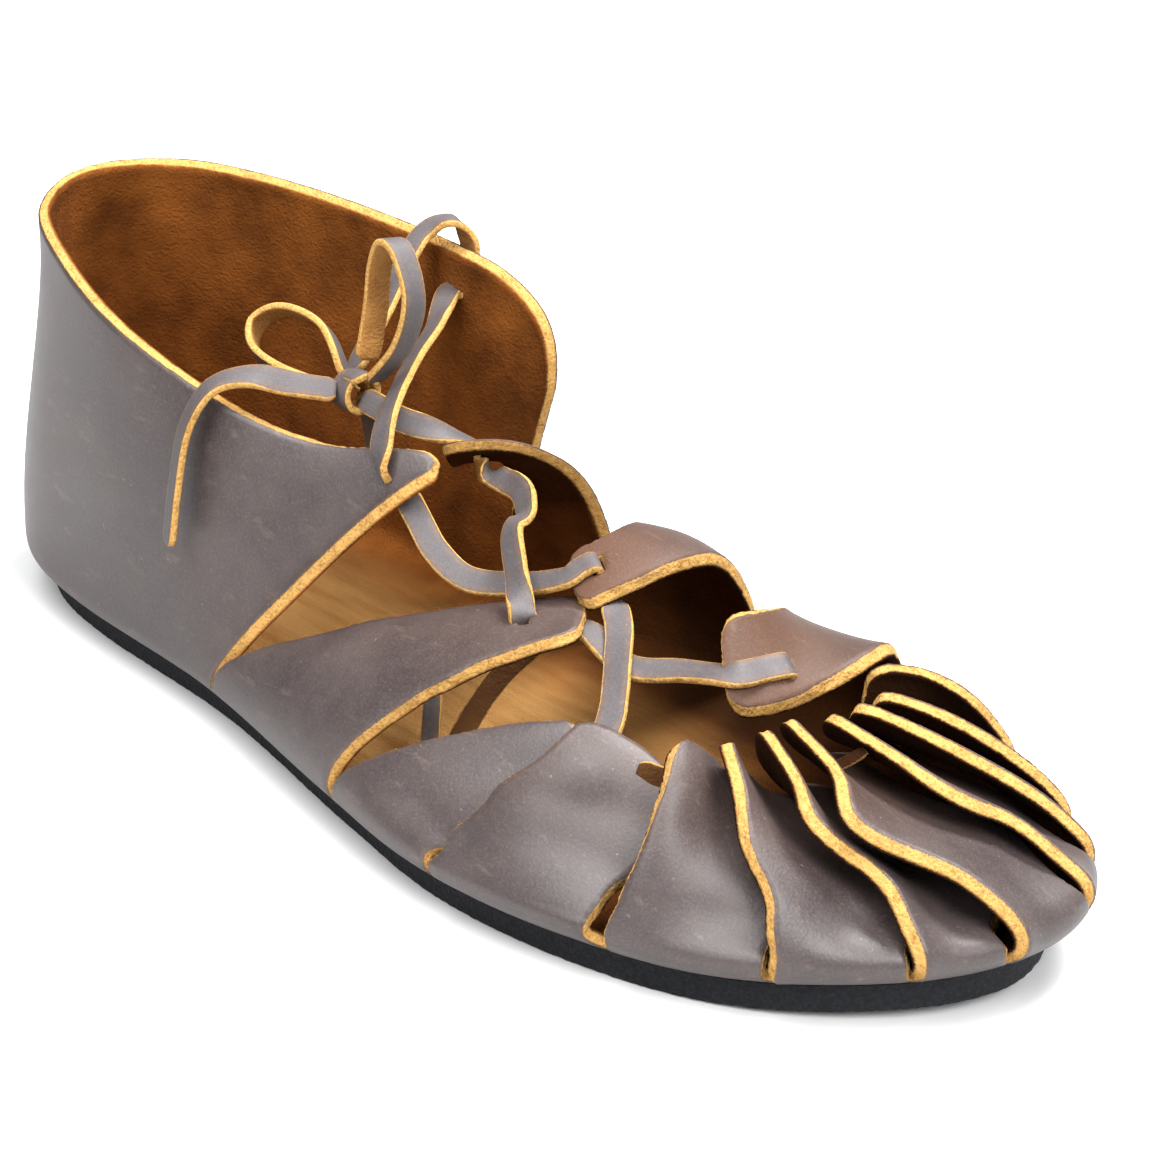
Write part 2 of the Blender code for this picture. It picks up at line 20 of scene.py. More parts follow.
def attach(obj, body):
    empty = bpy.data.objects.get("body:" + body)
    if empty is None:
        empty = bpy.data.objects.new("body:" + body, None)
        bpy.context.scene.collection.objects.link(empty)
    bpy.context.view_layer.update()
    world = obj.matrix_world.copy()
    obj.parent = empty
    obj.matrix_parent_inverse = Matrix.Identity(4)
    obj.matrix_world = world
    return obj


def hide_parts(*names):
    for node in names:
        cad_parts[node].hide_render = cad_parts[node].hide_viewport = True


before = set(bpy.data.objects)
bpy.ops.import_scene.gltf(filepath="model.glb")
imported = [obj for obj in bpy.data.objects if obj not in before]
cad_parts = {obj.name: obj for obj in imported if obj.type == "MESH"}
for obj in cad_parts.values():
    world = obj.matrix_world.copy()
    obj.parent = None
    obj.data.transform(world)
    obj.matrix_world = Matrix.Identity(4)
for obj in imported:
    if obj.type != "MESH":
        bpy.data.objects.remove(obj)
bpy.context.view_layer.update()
MM = 0.001
bpy.ops.object.select_all(action="DESELECT")
print("solids:", ", ".join(sorted(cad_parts)))

# %% [markdown]
# ## The camera
#
# The camera comes first, because it says which edges and faces matter most. It looks down on the outer
# side of the toes from the front. Its place keeps the perspective of a long lens close to the shoe, and
# it is aimed so that the whole shoe is in the frame.

# %% Place the camera
CAMERA_PLACE = Vector((0.3898, -0.3268, 0.2888))
CAMERA_TARGET = Vector((0.0145, 0.0184, 0.0341))
CAMERA_LENS = 85.0
bpy.ops.object.camera_add(location=CAMERA_PLACE)
camera = bpy.context.object
camera.rotation_euler = (CAMERA_TARGET - CAMERA_PLACE).to_track_quat("-Z", "Y").to_euler()
camera.data.lens = CAMERA_LENS
camera.data.clip_start = 0.01
bpy.context.scene.camera = camera
print("camera is", round((CAMERA_TARGET - CAMERA_PLACE).length, 3), "m from the shoe")

# %% [markdown]
# ## The line that everything follows
#
# A shoemaker starts from the outline of the sole, and so does this model. The outline is a short table
# of points with a smooth closed curve through them. Places along it are measured in millimetres from
# the toe, so a slit or a flap can be put at a place along the edge, as a maker marks them with a tape.

# %% Read the sole's edge
SOLE_EDGE = [  # x, y and how far the hide hangs over, in millimetres
    (-136, 0, 4.0), (-131, -16, 4.0), (-116, -28, 4.5), (-90, -33, 4.5), (-40, -35, 4.5),
    (10, -43, 4.5), (45, -47, 4.5), (80, -42, 4.0), (110, -30, 4.0), (130, -13, 4.0),
    (139, 5, 4.0), (136, 21, 6.5), (122, 35, 6.5), (93, 44, 5.5), (58, 45, 5.0), (20, 39, 5.0),
    (-25, 30, 5.0), (-75, 29, 4.5), (-114, 27, 4.5), (-131, 16, 4.0),
]
TOE_POINT_INDEX = 10
SAMPLES_PER_SPAN = 64


def catmull_rom(p0, p1, p2, p3, t):
    """A point on the smooth curve between p1 and p2."""
    return 0.5 * (2 * p1 + (p2 - p0) * t + (2 * p0 - 5 * p1 + 4 * p2 - p3) * t**2
                  + (3 * p1 - p0 - 3 * p2 + p3) * t**3)


def closed_curve(rows):
    table = np.array(rows, float)
    t = np.arange(SAMPLES_PER_SPAN)[:, None] / SAMPLES_PER_SPAN
    neighbours = [np.roll(table, 1 - k, axis=0) for k in range(4)]
    spans = [catmull_rom(*[rows_k[i] for rows_k in neighbours], t) for i in range(len(table))]
    return np.concatenate(spans + [spans[0][:1]])


EDGE_LINE = closed_curve(SOLE_EDGE)
edge_steps = np.linalg.norm(np.diff(EDGE_LINE[:, :2], axis=0), axis=1)
EDGE_LENGTHS = np.concatenate([[0], np.cumsum(edge_steps)])
EDGE_TOTAL = EDGE_LENGTHS[-1]
TOE_LENGTH = EDGE_LENGTHS[TOE_POINT_INDEX * SAMPLES_PER_SPAN]
print("the sole's edge is", round(EDGE_TOTAL), "mm round")


# %% Measure along the edge
def edge_at(place):
    """x, y and overhang at places along the edge."""
    length = np.mod(np.asarray(place, float) + TOE_LENGTH, EDGE_TOTAL)
    return np.stack([np.interp(length, EDGE_LENGTHS, EDGE_LINE[:, k]) for k in range(3)], axis=-1)


def edge_outward(place):
    along = edge_at(np.asarray(place) + 1)[..., :2] - edge_at(np.asarray(place) - 1)[..., :2]
    along /= np.linalg.norm(along, axis=-1, keepdims=True)
    return np.stack([along[..., 1], -along[..., 0], np.zeros(along.shape[:-1])], axis=-1)


def smoothstep(value):
    value = np.clip(value, 0.0, 1.0)
    return value * value * (3 - 2 * value)


TOE_SPRING = 3.0
TOE_SPRING_START_X = 92.0
TOE_SPRING_LENGTH = 48.0


def toe_lift(x):
    """Height of the sole's underside over the floor."""
    return TOE_SPRING * smoothstep((np.asarray(x) - TOE_SPRING_START_X) / TOE_SPRING_LENGTH)


print("the toe springs up by", float(toe_lift(139)), "mm")

# %% [markdown]
# ## Helpers for pieces and noise
#
# A few small helpers are used all through the lesson. Some make an object from points and faces, with
# its place in its mesh, read and move its points, and give each point a number that a material can
# read. One gives a smooth random number at a place, the same on each run, for cuts that aren't
# straight and surfaces that aren't even.


# %% Define the helpers
def make_piece(name, points, faces):
    """A mesh object from points in millimetres."""
    data = bpy.data.meshes.new(name)
    data.from_pydata([tuple(point * MM) for point in np.asarray(points, float)], [], faces)
    piece = bpy.data.objects.new(name, data)
    bpy.context.scene.collection.objects.link(piece)
    return piece


def make_active(piece):
    bpy.ops.object.select_all(action="DESELECT")
    piece.select_set(True)
    bpy.context.view_layer.objects.active = piece


def apply_modifier(piece, kind, **settings):
    make_active(piece)
    modifier = piece.modifiers.new(kind.lower(), kind)
    for setting, value in settings.items():
        setattr(modifier, setting, value)
    bpy.ops.object.modifier_apply(modifier=modifier.name)


def read_points(piece):
    """The points of a piece, in millimetres."""
    points = np.empty(len(piece.data.vertices) * 3)
    piece.data.vertices.foreach_get("co", points)
    return points.reshape(-1, 3) / MM


def write_points(piece, points):
    piece.data.vertices.foreach_set("co", (points * MM).ravel())
    piece.data.update()


def read_normals(piece):
    normals = np.empty(len(piece.data.vertices) * 3)
    piece.data.vertex_normals.foreach_get("vector", normals)
    return normals.reshape(-1, 3)


def write_values(piece, name, values):
    """A number for each point, which a material can read."""
    attribute = piece.data.attributes.get(name) or piece.data.attributes.new(name, "FLOAT", "POINT")
    attribute.data.foreach_set("value", np.asarray(values, np.float32))


def read_values(piece, name):
    values = np.empty(len(piece.data.vertices), np.float32)
    piece.data.attributes[name].data.foreach_get("value", values)
    return values


def rough(points, size, shift=0.0):
    """Smooth random numbers from -1 to 1 at points, for lumps of a size in millimetres."""
    offset = Vector((shift, shift, shift))
    return np.array([noise.noise(Vector(point) / size + offset) for point in points])


def select_where(piece, kind, test):
    """In edit mode, select the edges or faces of a piece that pass a test."""
    mesh = bmesh.from_edit_mesh(piece.data)
    for item in getattr(mesh, kind):
        item.select_set(test(item))
    bmesh.update_edit_mesh(piece.data)


def triangles(piece):
    piece.data.calc_loop_triangles()
    return len(piece.data.loop_triangles)

# %% [markdown]
# ## The hide: walls turned up from the sole
#
# On the real shoe the hide lies flat under the foot, turns up round the edge of the sole, and then
# leans in over the foot as far as each flap's tip. Every upright line of the hide is drawn the same way
# here: a quarter turn round the edge, and then one curve to the tip. Box modelling could not hold
# fourteen flaps that overlap by a few millimetres, so the sheet is laid out as a grid from these lines.

# %% Draw lines up the hide
SOLE_THICKNESS = 6.0
HIDE_THICKNESS = 2.2
SEAT_GAP = 0.3
EDGE_INSET = 3.0
EDGE_FULLNESS = 0.5
EDGE_RISE = 5.6
HIDE_FLOOR = SOLE_THICKNESS + SEAT_GAP + HIDE_THICKNESS / 2
EDGE_STEPS = 6
CURVE_STEPS = 24


def turned_edge(place, degrees):
    """Middle of the hide's wall where it turns up round the sole's edge."""
    x, y, overhang = np.moveaxis(edge_at(place), -1, 0)
    angle = np.radians(degrees)
    offset = (EDGE_INSET + overhang + EDGE_FULLNESS) * np.sin(angle) - EDGE_INSET
    height = HIDE_FLOOR + toe_lift(x) + EDGE_RISE * (1 - np.cos(angle))
    return np.stack([x, y, height], axis=-1) + edge_outward(place) * offset[..., None]


def pointing(heading, pitch):
    """Unit vector from a plan angle and an angle above the floor, in degrees."""
    turn, tilt = math.radians(heading), math.radians(pitch)
    flat = math.cos(tilt)
    return np.array([flat * math.cos(turn), flat * math.sin(turn), math.sin(tilt)])


def wall_lines(place, slit, rise, before_tip, tip):
    """Lines up the hide, one for each place: round the turned-up edge, then in a curve to the tip."""
    turn = np.linspace(0, 1, EDGE_STEPS, endpoint=False)
    turns = slit[:, None] + (90 - slit[:, None]) * turn
    lower = turned_edge(np.repeat(place[:, None], EDGE_STEPS, axis=1), turns)
    widest = turned_edge(place, np.full(place.shape, 90.0))
    above = widest + np.stack([0 * rise, 0 * rise, rise], axis=-1)
    t = np.linspace(0, 1, CURVE_STEPS + 1)[None, :, None]
    handles = [line[:, None] for line in (widest, above, before_tip, tip)]
    weights = [(1 - t) ** 3, 3 * (1 - t) ** 2 * t, 3 * (1 - t) * t**2, t**3]
    return np.concatenate([lower, sum(w * h for w, h in zip(weights, handles))], axis=1)


def along_lines(lines, share, cut_back):
    """The point a share of the way up each line, after its end is cut back."""
    gaps = np.linalg.norm(np.diff(lines, axis=1), axis=2)
    lengths = np.concatenate([np.zeros((len(lines), 1)), np.cumsum(gaps, axis=1)], axis=1)
    reach = (lengths[:, -1] - cut_back) * share
    rows = zip(reach, lengths, lines)
    return np.array([[np.interp(d, length, line[:, k]) for k in range(3)] for d, length, line in rows])


print("the hide's middle lies", HIDE_FLOOR, "mm over the floor")

# %% [markdown]
# ## The hide: the flaps
#
# Each flap is one row of a table, in order round the rim from the outer instep over the toes to the
# inner instep. The leading edge of each flap lies on the one before it, like shingles, and its trailing
# edge is tucked under the next. Those two are what make the scallops and dark valleys of the toe.

# %% List the flaps
Flap = namedtuple(
    "Flap",
    "name start end slit_start slit_end tip_x tip_y tip_z width heading pitch roll rise run"
    " lap tuck lift crown wave slit_from_tip",
)
FLAPS = [
    Flap("outer_back", -196, -144, 78, 70, 44, -9, 47,
         19, 43, 4, -5, 11, 13, 0, 0, 0, 2.5, 0, 10.7),
    Flap("outer_mid", -144, -112, 70, 45, 62.6, -27.6, 32.6,
         15, 37, 3, 24, 7, 15, 0.4, 2.5, 0, 0, 0, 0),
    Flap("outer_front", -112, -72.5, 45, 42, 72.2, -23.8, 38,
         19.6, 104, 8, 8, -3, 12, 0.1, 2.3, 0.5, 2, 0, 0),
    Flap("toe_1", -72.5, -42.5, 42, 38, 86, -18.7, 41,
         12, 138, 15, 12, 2, 15, 0.2, 4, 0.3, 2, 0, 0),
    Flap("toe_2", -42.5, -18.5, 38, 42, 91.5, -13.4, 41.5,
         11, 154, 20, 18, 6, 14, 0.9, 5, 0.3, 1.5, 0, 0),
    Flap("toe_3", -18.5, -1.5, 42, 44, 93.3, -7.3, 42.5,
         11, 164, 23, 22, 4, 15, 1.3, 5.5, 0.3, 1, 0, 0),
    Flap("toe_4", -1.5, 16, 44, 66, 94.2, -3.0, 43.2,
         11, 172, 25, 22, 7, 18, 1.2, 3.2, 0.3, 1.5, 0.4, 0),
    Flap("toe_5", 16, 27, 66, 72, 96.7, 4.3, 43,
         11, 194, 20, 20, 6, 14, 1.1, 2.8, 0, 1, 0.1, 0),
    Flap("toe_6", 27, 38, 72, 74, 97, 10, 43,
         11, 210, 14, 20, 8, 15, 1.1, 2.8, 0, 1, 0, 0),
    Flap("toe_7", 38, 54, 74, 76, 97, 15.5, 43,
         11, 221, 10, 20, 8, 15, 0.8, 3.0, 0, 1, 0, 0),
    Flap("toe_8", 54, 84, 76, 76, 90, 18.5, 44,
         13, 240, -2, 20, 8, 18, 0.3, 7, 0.3, 2, 0, 0),
    Flap("inner_front", 84, 122, 76, 76, 75, -2.5, 46.8,
         20, 232, 0, -42, 20, 18, 0, 0, 0, 0.5, 0, 11.8),
    Flap("inner_mid", 122, 158, 76, 76, 35.2, -4, 49.8,
         16, 228, -24, -18, 29, 22, 0, 0, 0, 2.5, 0, 4.5),
    Flap("inner_back", 158, 190, 76, 78, -12, 4, 61,
         16, 224, -14, 14, 18, 27, 0, 2, 0, 2, 0, 5.5),
]
print(len(FLAPS), "flaps")

# %% [markdown]
# ## The hide: how the cuts behave
#
# No two cuts look alike on the real shoe, so a second table says how each flap's cuts behave. Its
# leading edge can curl up off the flap below, its cut can slope so that the tan edge shows from
# outside, and the slit behind it can gape at its foot. Two sways bend the leading edge to and fro, and
# an arch lifts it off the foot at a share of its length. A broad flap stays up further across near its
# tip before it dives under the next. Oiled leather also turns warmer and lighter where it is bent, so
# each flap has a number that grows to its tip. It warms the grain, and it also paints shade on the
# flesh side under the flaps.

# %% Describe the cuts
Cut = namedtuple(
    "Cut", "curl slope gape low_sway high_sway arch arch_at broad",
    defaults=(0.0, 0.62, 0.0),
)
CUTS = {
    "outer_back": Cut(0.6, 1.2, 0.0, 0.05, 0.035),
    "outer_mid": Cut(0.0, 0.9, 0.3, 0, 0),
    "outer_front": Cut(0.4, 0.8, 3.2, -0.07, -0.08, broad=0.45),
    "toe_1": Cut(0.7, 0.9, 0.3, 0, 0, broad=0.3),
    "toe_2": Cut(1.7, 1.3, 0.3, 0.06, -0.07),
    "toe_3": Cut(2.2, 1.7, 0.3, 0.14, -0.26),
    "toe_4": Cut(2.4, 1.7, 0.3, 0.18, -0.46),
    "toe_5": Cut(1.2, 1.9, 0.3, 0.28, -0.12),
    "toe_6": Cut(1.0, 1.8, 0.2, 0.10, 0),
    "toe_7": Cut(0.9, 1.7, 0.2, 0, 0),
    "toe_8": Cut(1.0, 1.5, 0.0, 0, 0),
    "inner_front": Cut(0.0, 1.8, 0.0, 0, 0, 9.5, 0.52),
    "inner_mid": Cut(0.0, 1.6, 0.0, 0, 0, 4.0),
    "inner_back": Cut(0.6, -1.8, 0.0, 0, 0, 2.4),
}
# How much each flap's grain warms towards its tip; the same number paints shade on its flesh side.
WARM_AND_SHADED_FLAPS = {
    "outer_back": 0.25, "outer_front": 0.15, "toe_1": 0.2, "toe_2": 0.25, "toe_3": 0.45, "toe_4": 0.6,
    "toe_5": 0.8, "toe_6": 0.7, "toe_7": 0.7, "toe_8": 0.8, "inner_front": 1.0, "inner_mid": 1.0,
    "inner_back": 0.9,
}
print("steepest curl:", max(cut.curl for cut in CUTS.values()), "mm")

# %% Lay out a flap
SLIT_WIDTH = 1.2
TIP_ROUND = 3.5


def flap_lines(flap, across):
    """Lines up a flap at shares across it, from its leading edge 0 to its trailing edge 1."""
    place = flap.start + SLIT_WIDTH / 2 + (flap.end - flap.start - SLIT_WIDTH) * across
    slit = flap.slit_start + (flap.slit_end - flap.slit_start) * across
    ahead = pointing(flap.heading, flap.pitch)
    level = np.cross([0, 0, 1], ahead)
    level /= np.linalg.norm(level)
    roll = math.radians(flap.roll)
    side = level * math.cos(roll) + np.cross(ahead, level) * math.sin(roll)
    tip = np.array([flap.tip_x, flap.tip_y, flap.tip_z]) + (flap.width * (0.5 - across))[:, None] * side
    return wall_lines(place, slit, np.full(len(across), float(flap.rise)), tip - ahead * flap.run, tip)


def plain_points(flap, across, along):
    """A flap's wall before it is lapped, at shares across and along it."""
    side = np.minimum(np.abs(2 * across - 1), 1.0)
    cut_back = TIP_ROUND * (1 - (1 - side**3) ** (1 / 3))
    return along_lines(flap_lines(flap, across), along, cut_back)


def hump(value, middle, width):
    return np.exp(-(((value - middle) / width) ** 2))


print("the first flap is", FLAPS[0].end - FLAPS[0].start, "mm wide at its foot")

# %% Bend a flap
# A pair says where along the flap a change starts and the span over which it comes, as shares of the
# flap's length. For a sway it says where the sway's middle is, and how wide it is.
NUDGE = 0.02
LAP, LAP_DELAY = (0.1, 0.3), 0.075
WAVE = (0.1, 0.75)
LOW_SWAY, HIGH_SWAY = (0.36, 0.13), (0.64, 0.13)
GAPE_OPENS, GAPE_CLOSES = (0, 0.07), (0.12, 0.38)
TUCK, TUCK_DELAY, TUCK_SHARE = (0, 0.32), 0.05, 1.4
TUCK_DEEPENS, TUCK_DEEPER = (0.3, 0.5), 0.55
DIVE_SHARE, DIVE_BEND = 0.44, 2.5
BROADENS = (0.6, 0.35)
CURL, CURL_SHARE = (0, 0.12), 0.35
ARCH_WIDTH = 0.24


def ease(along, start, span):
    """0 up to a start, 1 from a span past it, and smooth between them."""
    return smoothstep((along - start) / span)


def bent_across(flap, cut, across, along):
    """Shares across a flap after its edges are lapped, waved, swayed and opened."""
    leading = (1 - across) ** 2
    lap = flap.lap * across**2 * ease(along - LAP_DELAY * cut.gape, *LAP)
    wave = flap.wave * leading * np.sin(np.pi * ease(along, *WAVE))
    low, high = hump(along, *LOW_SWAY), hump(along, *HIGH_SWAY)
    opening = ease(along, *GAPE_OPENS) * (1 - ease(along, *GAPE_CLOSES))
    gape = cut.gape / (flap.end - flap.start) * across**4 * opening
    return across + lap - wave + (leading * (cut.low_sway * low + cut.high_sway * high) - gape)


def off_wall(flap, cut, across, along):
    """How far a flap is lifted, tucked, curled, swelled and arched off its plain wall."""
    tuck = flap.tuck * (TUCK_SHARE + TUCK_DEEPER * ease(along, *TUCK_DEEPENS))
    dive_share = DIVE_SHARE + cut.broad * ease(along, *BROADENS)
    dive = 1 - np.exp(-((np.maximum(across, 0) / dive_share) ** DIVE_BEND))
    raised = flap.lift * (1 - across) ** 2 - tuck * dive
    raised *= ease(along - TUCK_DELAY * cut.gape, *TUCK)
    curled = cut.curl * np.clip(1 - across / CURL_SHARE, 0, 1) ** 2 * ease(along, *CURL)
    swell = flap.crown * 4 * across * (1 - across) * np.sin(np.pi * along)
    arch = cut.arch * np.clip(1 - across, 0, 1) ** 2 * hump(along, cut.arch_at, ARCH_WIDTH)
    return raised + curled + (swell + arch)


def flap_points(flap, across, along):
    """Middle of a flap's wall at shares across and along it."""
    cut = CUTS[flap.name]
    bent = bent_across(flap, cut, across, along)
    over = plain_points(flap, bent + NUDGE, along) - plain_points(flap, bent - NUDGE, along)
    ahead, behind = np.minimum(along + NUDGE, 1), np.maximum(along - NUDGE, 0)
    up = plain_points(flap, bent, ahead) - plain_points(flap, bent, behind)
    normal = np.cross(over, up)
    normal /= np.linalg.norm(normal, axis=1, keepdims=True)
    return plain_points(flap, bent, along) + normal * off_wall(flap, cut, across, along)[:, None]


middle = flap_points(FLAPS[0], np.array([0.5]), np.array([1.0]))[0]
print("the first flap's tip is at", middle.round(1))

# %% [markdown]
# ## The hide: the quarters and heel
#
# From the last inner flap round the heel to the first outer flap the hide is one uncut wall. It is
# drawn from ribs: each row says where a rib starts on the edge and where it ends on the collar. The
# collar is high at the heel and dips at the outer side, where the front corner leans in over the foot.

# %% List the ribs
Rib = namedtuple("Rib", "place slit top_x top_y top_z rise run heading pitch")
QUARTER_RIBS = [
    Rib(190, 78, -17, 39, 67, 14, 18, 10, 74),
    Rib(198, 80, -21, 39, 77, 18, 18, 30, 79),
    Rib(208, 82, -31, 39, 83, 22, 18, 60, 84),
    Rib(224, 86, -46, 38, 86, 24, 20, 90, 86),
    Rib(250, 90, -77, 35, 88.5, 26, 24, 90, 88),
    Rib(278, 90, -108, 27, 91, 28, 26, 40, 84),
    Rib(294, 90, -124, 16, 92.5, 28, 26, 20, 83),
    Rib(310, 90, -131, 0, 93, 28, 26, 0, 82),
    Rib(326, 90, -124, -16, 92, 28, 26, -20, 83),
    Rib(342, 90, -108, -27, 89.5, 28, 26, -40, 84),
    Rib(370, 90, -74, -34, 81, 24, 22, 60, 84),
    Rib(396, 86, -42, -28, 70, 20, 18, 60, 60),
    Rib(410, 82, -22, -19, 65, 14, 18, 56, 36),
    Rib(420, 80, -2, -10, 67.5, 7, 16, 52, 24),
    Rib(424, 78, 2, -9, 63.5, 1, 12, 50, 20),
]


def ribs_at(share):
    """Ribs at shares along the quarters, as columns of the table."""
    table = np.array(QUARTER_RIBS, float)
    spans = len(table) - 1
    span = np.minimum((share * spans).astype(int), spans - 1)
    t = (share * spans - span)[:, None]
    knots = [table[np.clip(span + k, 0, spans)] for k in (-1, 0, 1, 2)]
    return Rib(*catmull_rom(*knots, t).T)


def quarter_lines(share):
    """Lines up the quarters, with their places along the edge and their slits."""
    rib = ribs_at(share)
    first = FLAPS[-1].end + SLIT_WIDTH / 2
    last = EDGE_TOTAL + FLAPS[0].start - SLIT_WIDTH / 2
    reach = (rib.place - QUARTER_RIBS[0].place) / (QUARTER_RIBS[-1].place - QUARTER_RIBS[0].place)
    place = first + (last - first) * reach
    tip = np.stack([rib.top_x, rib.top_y, rib.top_z], axis=-1)
    ahead = np.array([pointing(heading, pitch) for heading, pitch in zip(rib.heading, rib.pitch)])
    return wall_lines(place, rib.slit, rib.rise, tip - ahead * rib.run[:, None], tip), place, rib.slit


def quarter_points(share, up):
    return along_lines(quarter_lines(share)[0], up, 0.0)


print("the collar is highest at", max(rib.top_z for rib in QUARTER_RIBS), "mm")

# %% [markdown]
# ## The hide: one sheet
#
# Now the grid. Each flap gets columns across it and rows along it, and so do the quarters. Under the
# slits all columns join in one ring that turns in under the foot. A flap with a thong slit leaves two
# faces out near its tip. The cut edges wander a little, because they were cut by hand.

# %% Set out the grid
FLAP_COLUMNS = np.array([0, 0.13, 0.24, 0.34, 0.42, 0.5, 0.58, 0.66, 0.78, 0.9, 1.0])
THONG_SLIT = {"inner_front": (0.24, 0.42)}
MIDDLE_SLIT = (0.34, 0.66)
UNCUT_TIP = 6.6
SLIT_LENGTH = 2.3
FLAP_ROWS = 27
TIP_ROWS = 4
QUARTER_COLUMNS = 64
QUARTER_ROWS = 22
RING_ROWS = 4
CUT_WANDER = 0.3
WANDER_FROM = 0.15


def flap_rows(flap):
    """Shares along a flap, with two rows that bound its thong slit."""
    line = flap_lines(flap, np.array([0.5]))[0]
    length = np.linalg.norm(np.diff(line, axis=0), axis=1).sum()
    slit_end = 1 - (flap.slit_from_tip or UNCUT_TIP) / length
    slit_start = slit_end - SLIT_LENGTH / length
    return np.concatenate([np.linspace(0, slit_start, FLAP_ROWS), np.linspace(slit_end, 1, TIP_ROWS)])


def flap_grid(flap, number):
    """Points of a flap by column and row. Its edges wander by a fraction of a millimetre."""
    rows = flap_rows(flap)
    across, along = np.meshgrid(FLAP_COLUMNS, rows, indexing="ij")
    spots = [Vector((number * 7.3, share * 9, side)) for side in (0, 5) for share in rows]
    wander = np.array([noise.noise(spot) for spot in spots]).reshape(2, -1)
    wander = wander * CUT_WANDER / flap.width * smoothstep(rows / WANDER_FROM)
    cut = across + (1 - across) ** 4 * wander[0] + across**4 * wander[1]
    points = flap_points(flap, np.clip(cut.ravel(), -0.02, 1.02), along.ravel())
    return points.reshape(len(FLAP_COLUMNS), len(rows), 3)


grids = [flap_grid(flap, number) for number, flap in enumerate(FLAPS)]
print("flap grids:", len(grids), "of", grids[0].shape[:2])


# %% Join the sheet
class Sheet:
    """Points and faces of the hide's middle surface."""

    def __init__(self):
        self.points = []
        self.slopes = []
        self.warmth = []
        self.faces = []
        self.rims = []

    def add_points(self, points, slope, warmth=0.0):
        first = len(self.points)
        self.points.extend(points)
        self.slopes.extend([slope] * len(points))
        self.warmth.extend(warmth * smoothstep(np.linspace(-0.3, 1.1, len(points))))
        return list(range(first, len(self.points)))

    def add_column(self, place, slit, wall, slope, warmth=0.0):
        """A column up the ring and on up the wall, whose first point is the ring's last."""
        turns = slit * np.arange(RING_ROWS + 1) / RING_ROWS
        ring = self.add_points(turned_edge(np.full(RING_ROWS + 1, place), turns), 0.0)
        self.rims.append(ring)
        return [ring[-1]] + self.add_points(wall[1:], slope, warmth)

    def skin(self, left, right, open_rows=()):
        for row in range(len(left) - 1):
            if row not in open_rows:
                self.faces.append((left[row], right[row], right[row + 1], left[row + 1]))

    def add_block(self, columns, slit_columns=(1, 0), open_rows=()):
        for number in range(len(columns) - 1):
            slitted = slit_columns[0] <= number < slit_columns[1]
            self.skin(columns[number], columns[number + 1], open_rows if slitted else ())


TIP_SLOPE = 0.25
TIP_SLOPES = {"inner_front": -0.5}
sheet = Sheet()
for flap, grid in zip(FLAPS, grids):
    slit_shares = THONG_SLIT.get(flap.name, MIDDLE_SLIT)
    slit_columns = [int(np.argmin(np.abs(FLAP_COLUMNS - share))) for share in slit_shares]
    places = flap.start + SLIT_WIDTH / 2 + (flap.end - flap.start - SLIT_WIDTH) * FLAP_COLUMNS
    slits = flap.slit_start + (flap.slit_end - flap.slit_start) * FLAP_COLUMNS
    tip_slope = TIP_SLOPES.get(flap.name, CUTS[flap.name].slope * TIP_SLOPE)
    slopes = np.full(len(FLAP_COLUMNS), tip_slope)
    slopes[[0, -1]] = CUTS[flap.name].slope
    warmth = WARM_AND_SHADED_FLAPS.get(flap.name, 0.0)
    columns = [sheet.add_column(*column, warmth) for column in zip(places, slits, grid, slopes)]
    sheet.add_block(columns, slit_columns if flap.slit_from_tip else (1, 0), (FLAP_ROWS - 1,))
print(len(sheet.points), "points in the flaps")

# %% Add the quarters and the bottom
END_COLUMNS = 4
END_SHARE = 0.05
LIP_SHARE = 0.07
OUTER_LIP = np.array([0.9, -2.0, 1.0])
LIP_FROM = 0.3
INNER_CORNER = 5.0
OUTER_CORNER = 0.9
CORNER_BEND = 2.2
RIM_SLOPES = [(0, -1.6), (0.4, -1.6), (0.6, 0.9), (0.93, 0.6), (0.985, 0.3), (1, 2.4)]
inside = np.linspace(END_SHARE, 1 - END_SHARE, QUARTER_COLUMNS)
ends = np.linspace(0, END_SHARE, END_COLUMNS, endpoint=False)
shares = np.concatenate([ends, inside, 1 - ends[::-1]])
heights = np.linspace(0, 1, QUARTER_ROWS + 1)
inner_corner = INNER_CORNER * np.clip(1 - shares / END_SHARE, 0, 1) ** CORNER_BEND
outer_corner = OUTER_CORNER * np.clip(1 - (1 - shares) / END_SHARE, 0, 1) ** CORNER_BEND
corners = inner_corner + outer_corner
quarter_walls, quarter_places, quarter_slits = quarter_lines(shares)
rows = [along_lines(quarter_walls, np.full(len(shares), up), corners) for up in heights]
quarter_grid = np.stack(rows, axis=1)
lip = np.clip(1 - (1 - shares) / LIP_SHARE, 0, 1) ** 2
quarter_grid += OUTER_LIP * lip[:, None, None] * smoothstep(heights / LIP_FROM)[None, :, None]
slopes = np.interp(shares, *zip(*RIM_SLOPES))
quarter_columns = zip(quarter_places, quarter_slits, quarter_grid, slopes)
columns = [sheet.add_column(*column) for column in quarter_columns]
sheet.add_block(columns)
for left, right in zip(sheet.rims, sheet.rims[1:] + sheet.rims[:1]):
    sheet.skin(left, right)
sheet.faces.append(tuple(ring[0] for ring in reversed(sheet.rims)))
hide = make_piece("hide", sheet.points, sheet.faces)
write_values(hide, "warmth", sheet.warmth)
print("the sheet has", len(hide.data.polygons), "faces")

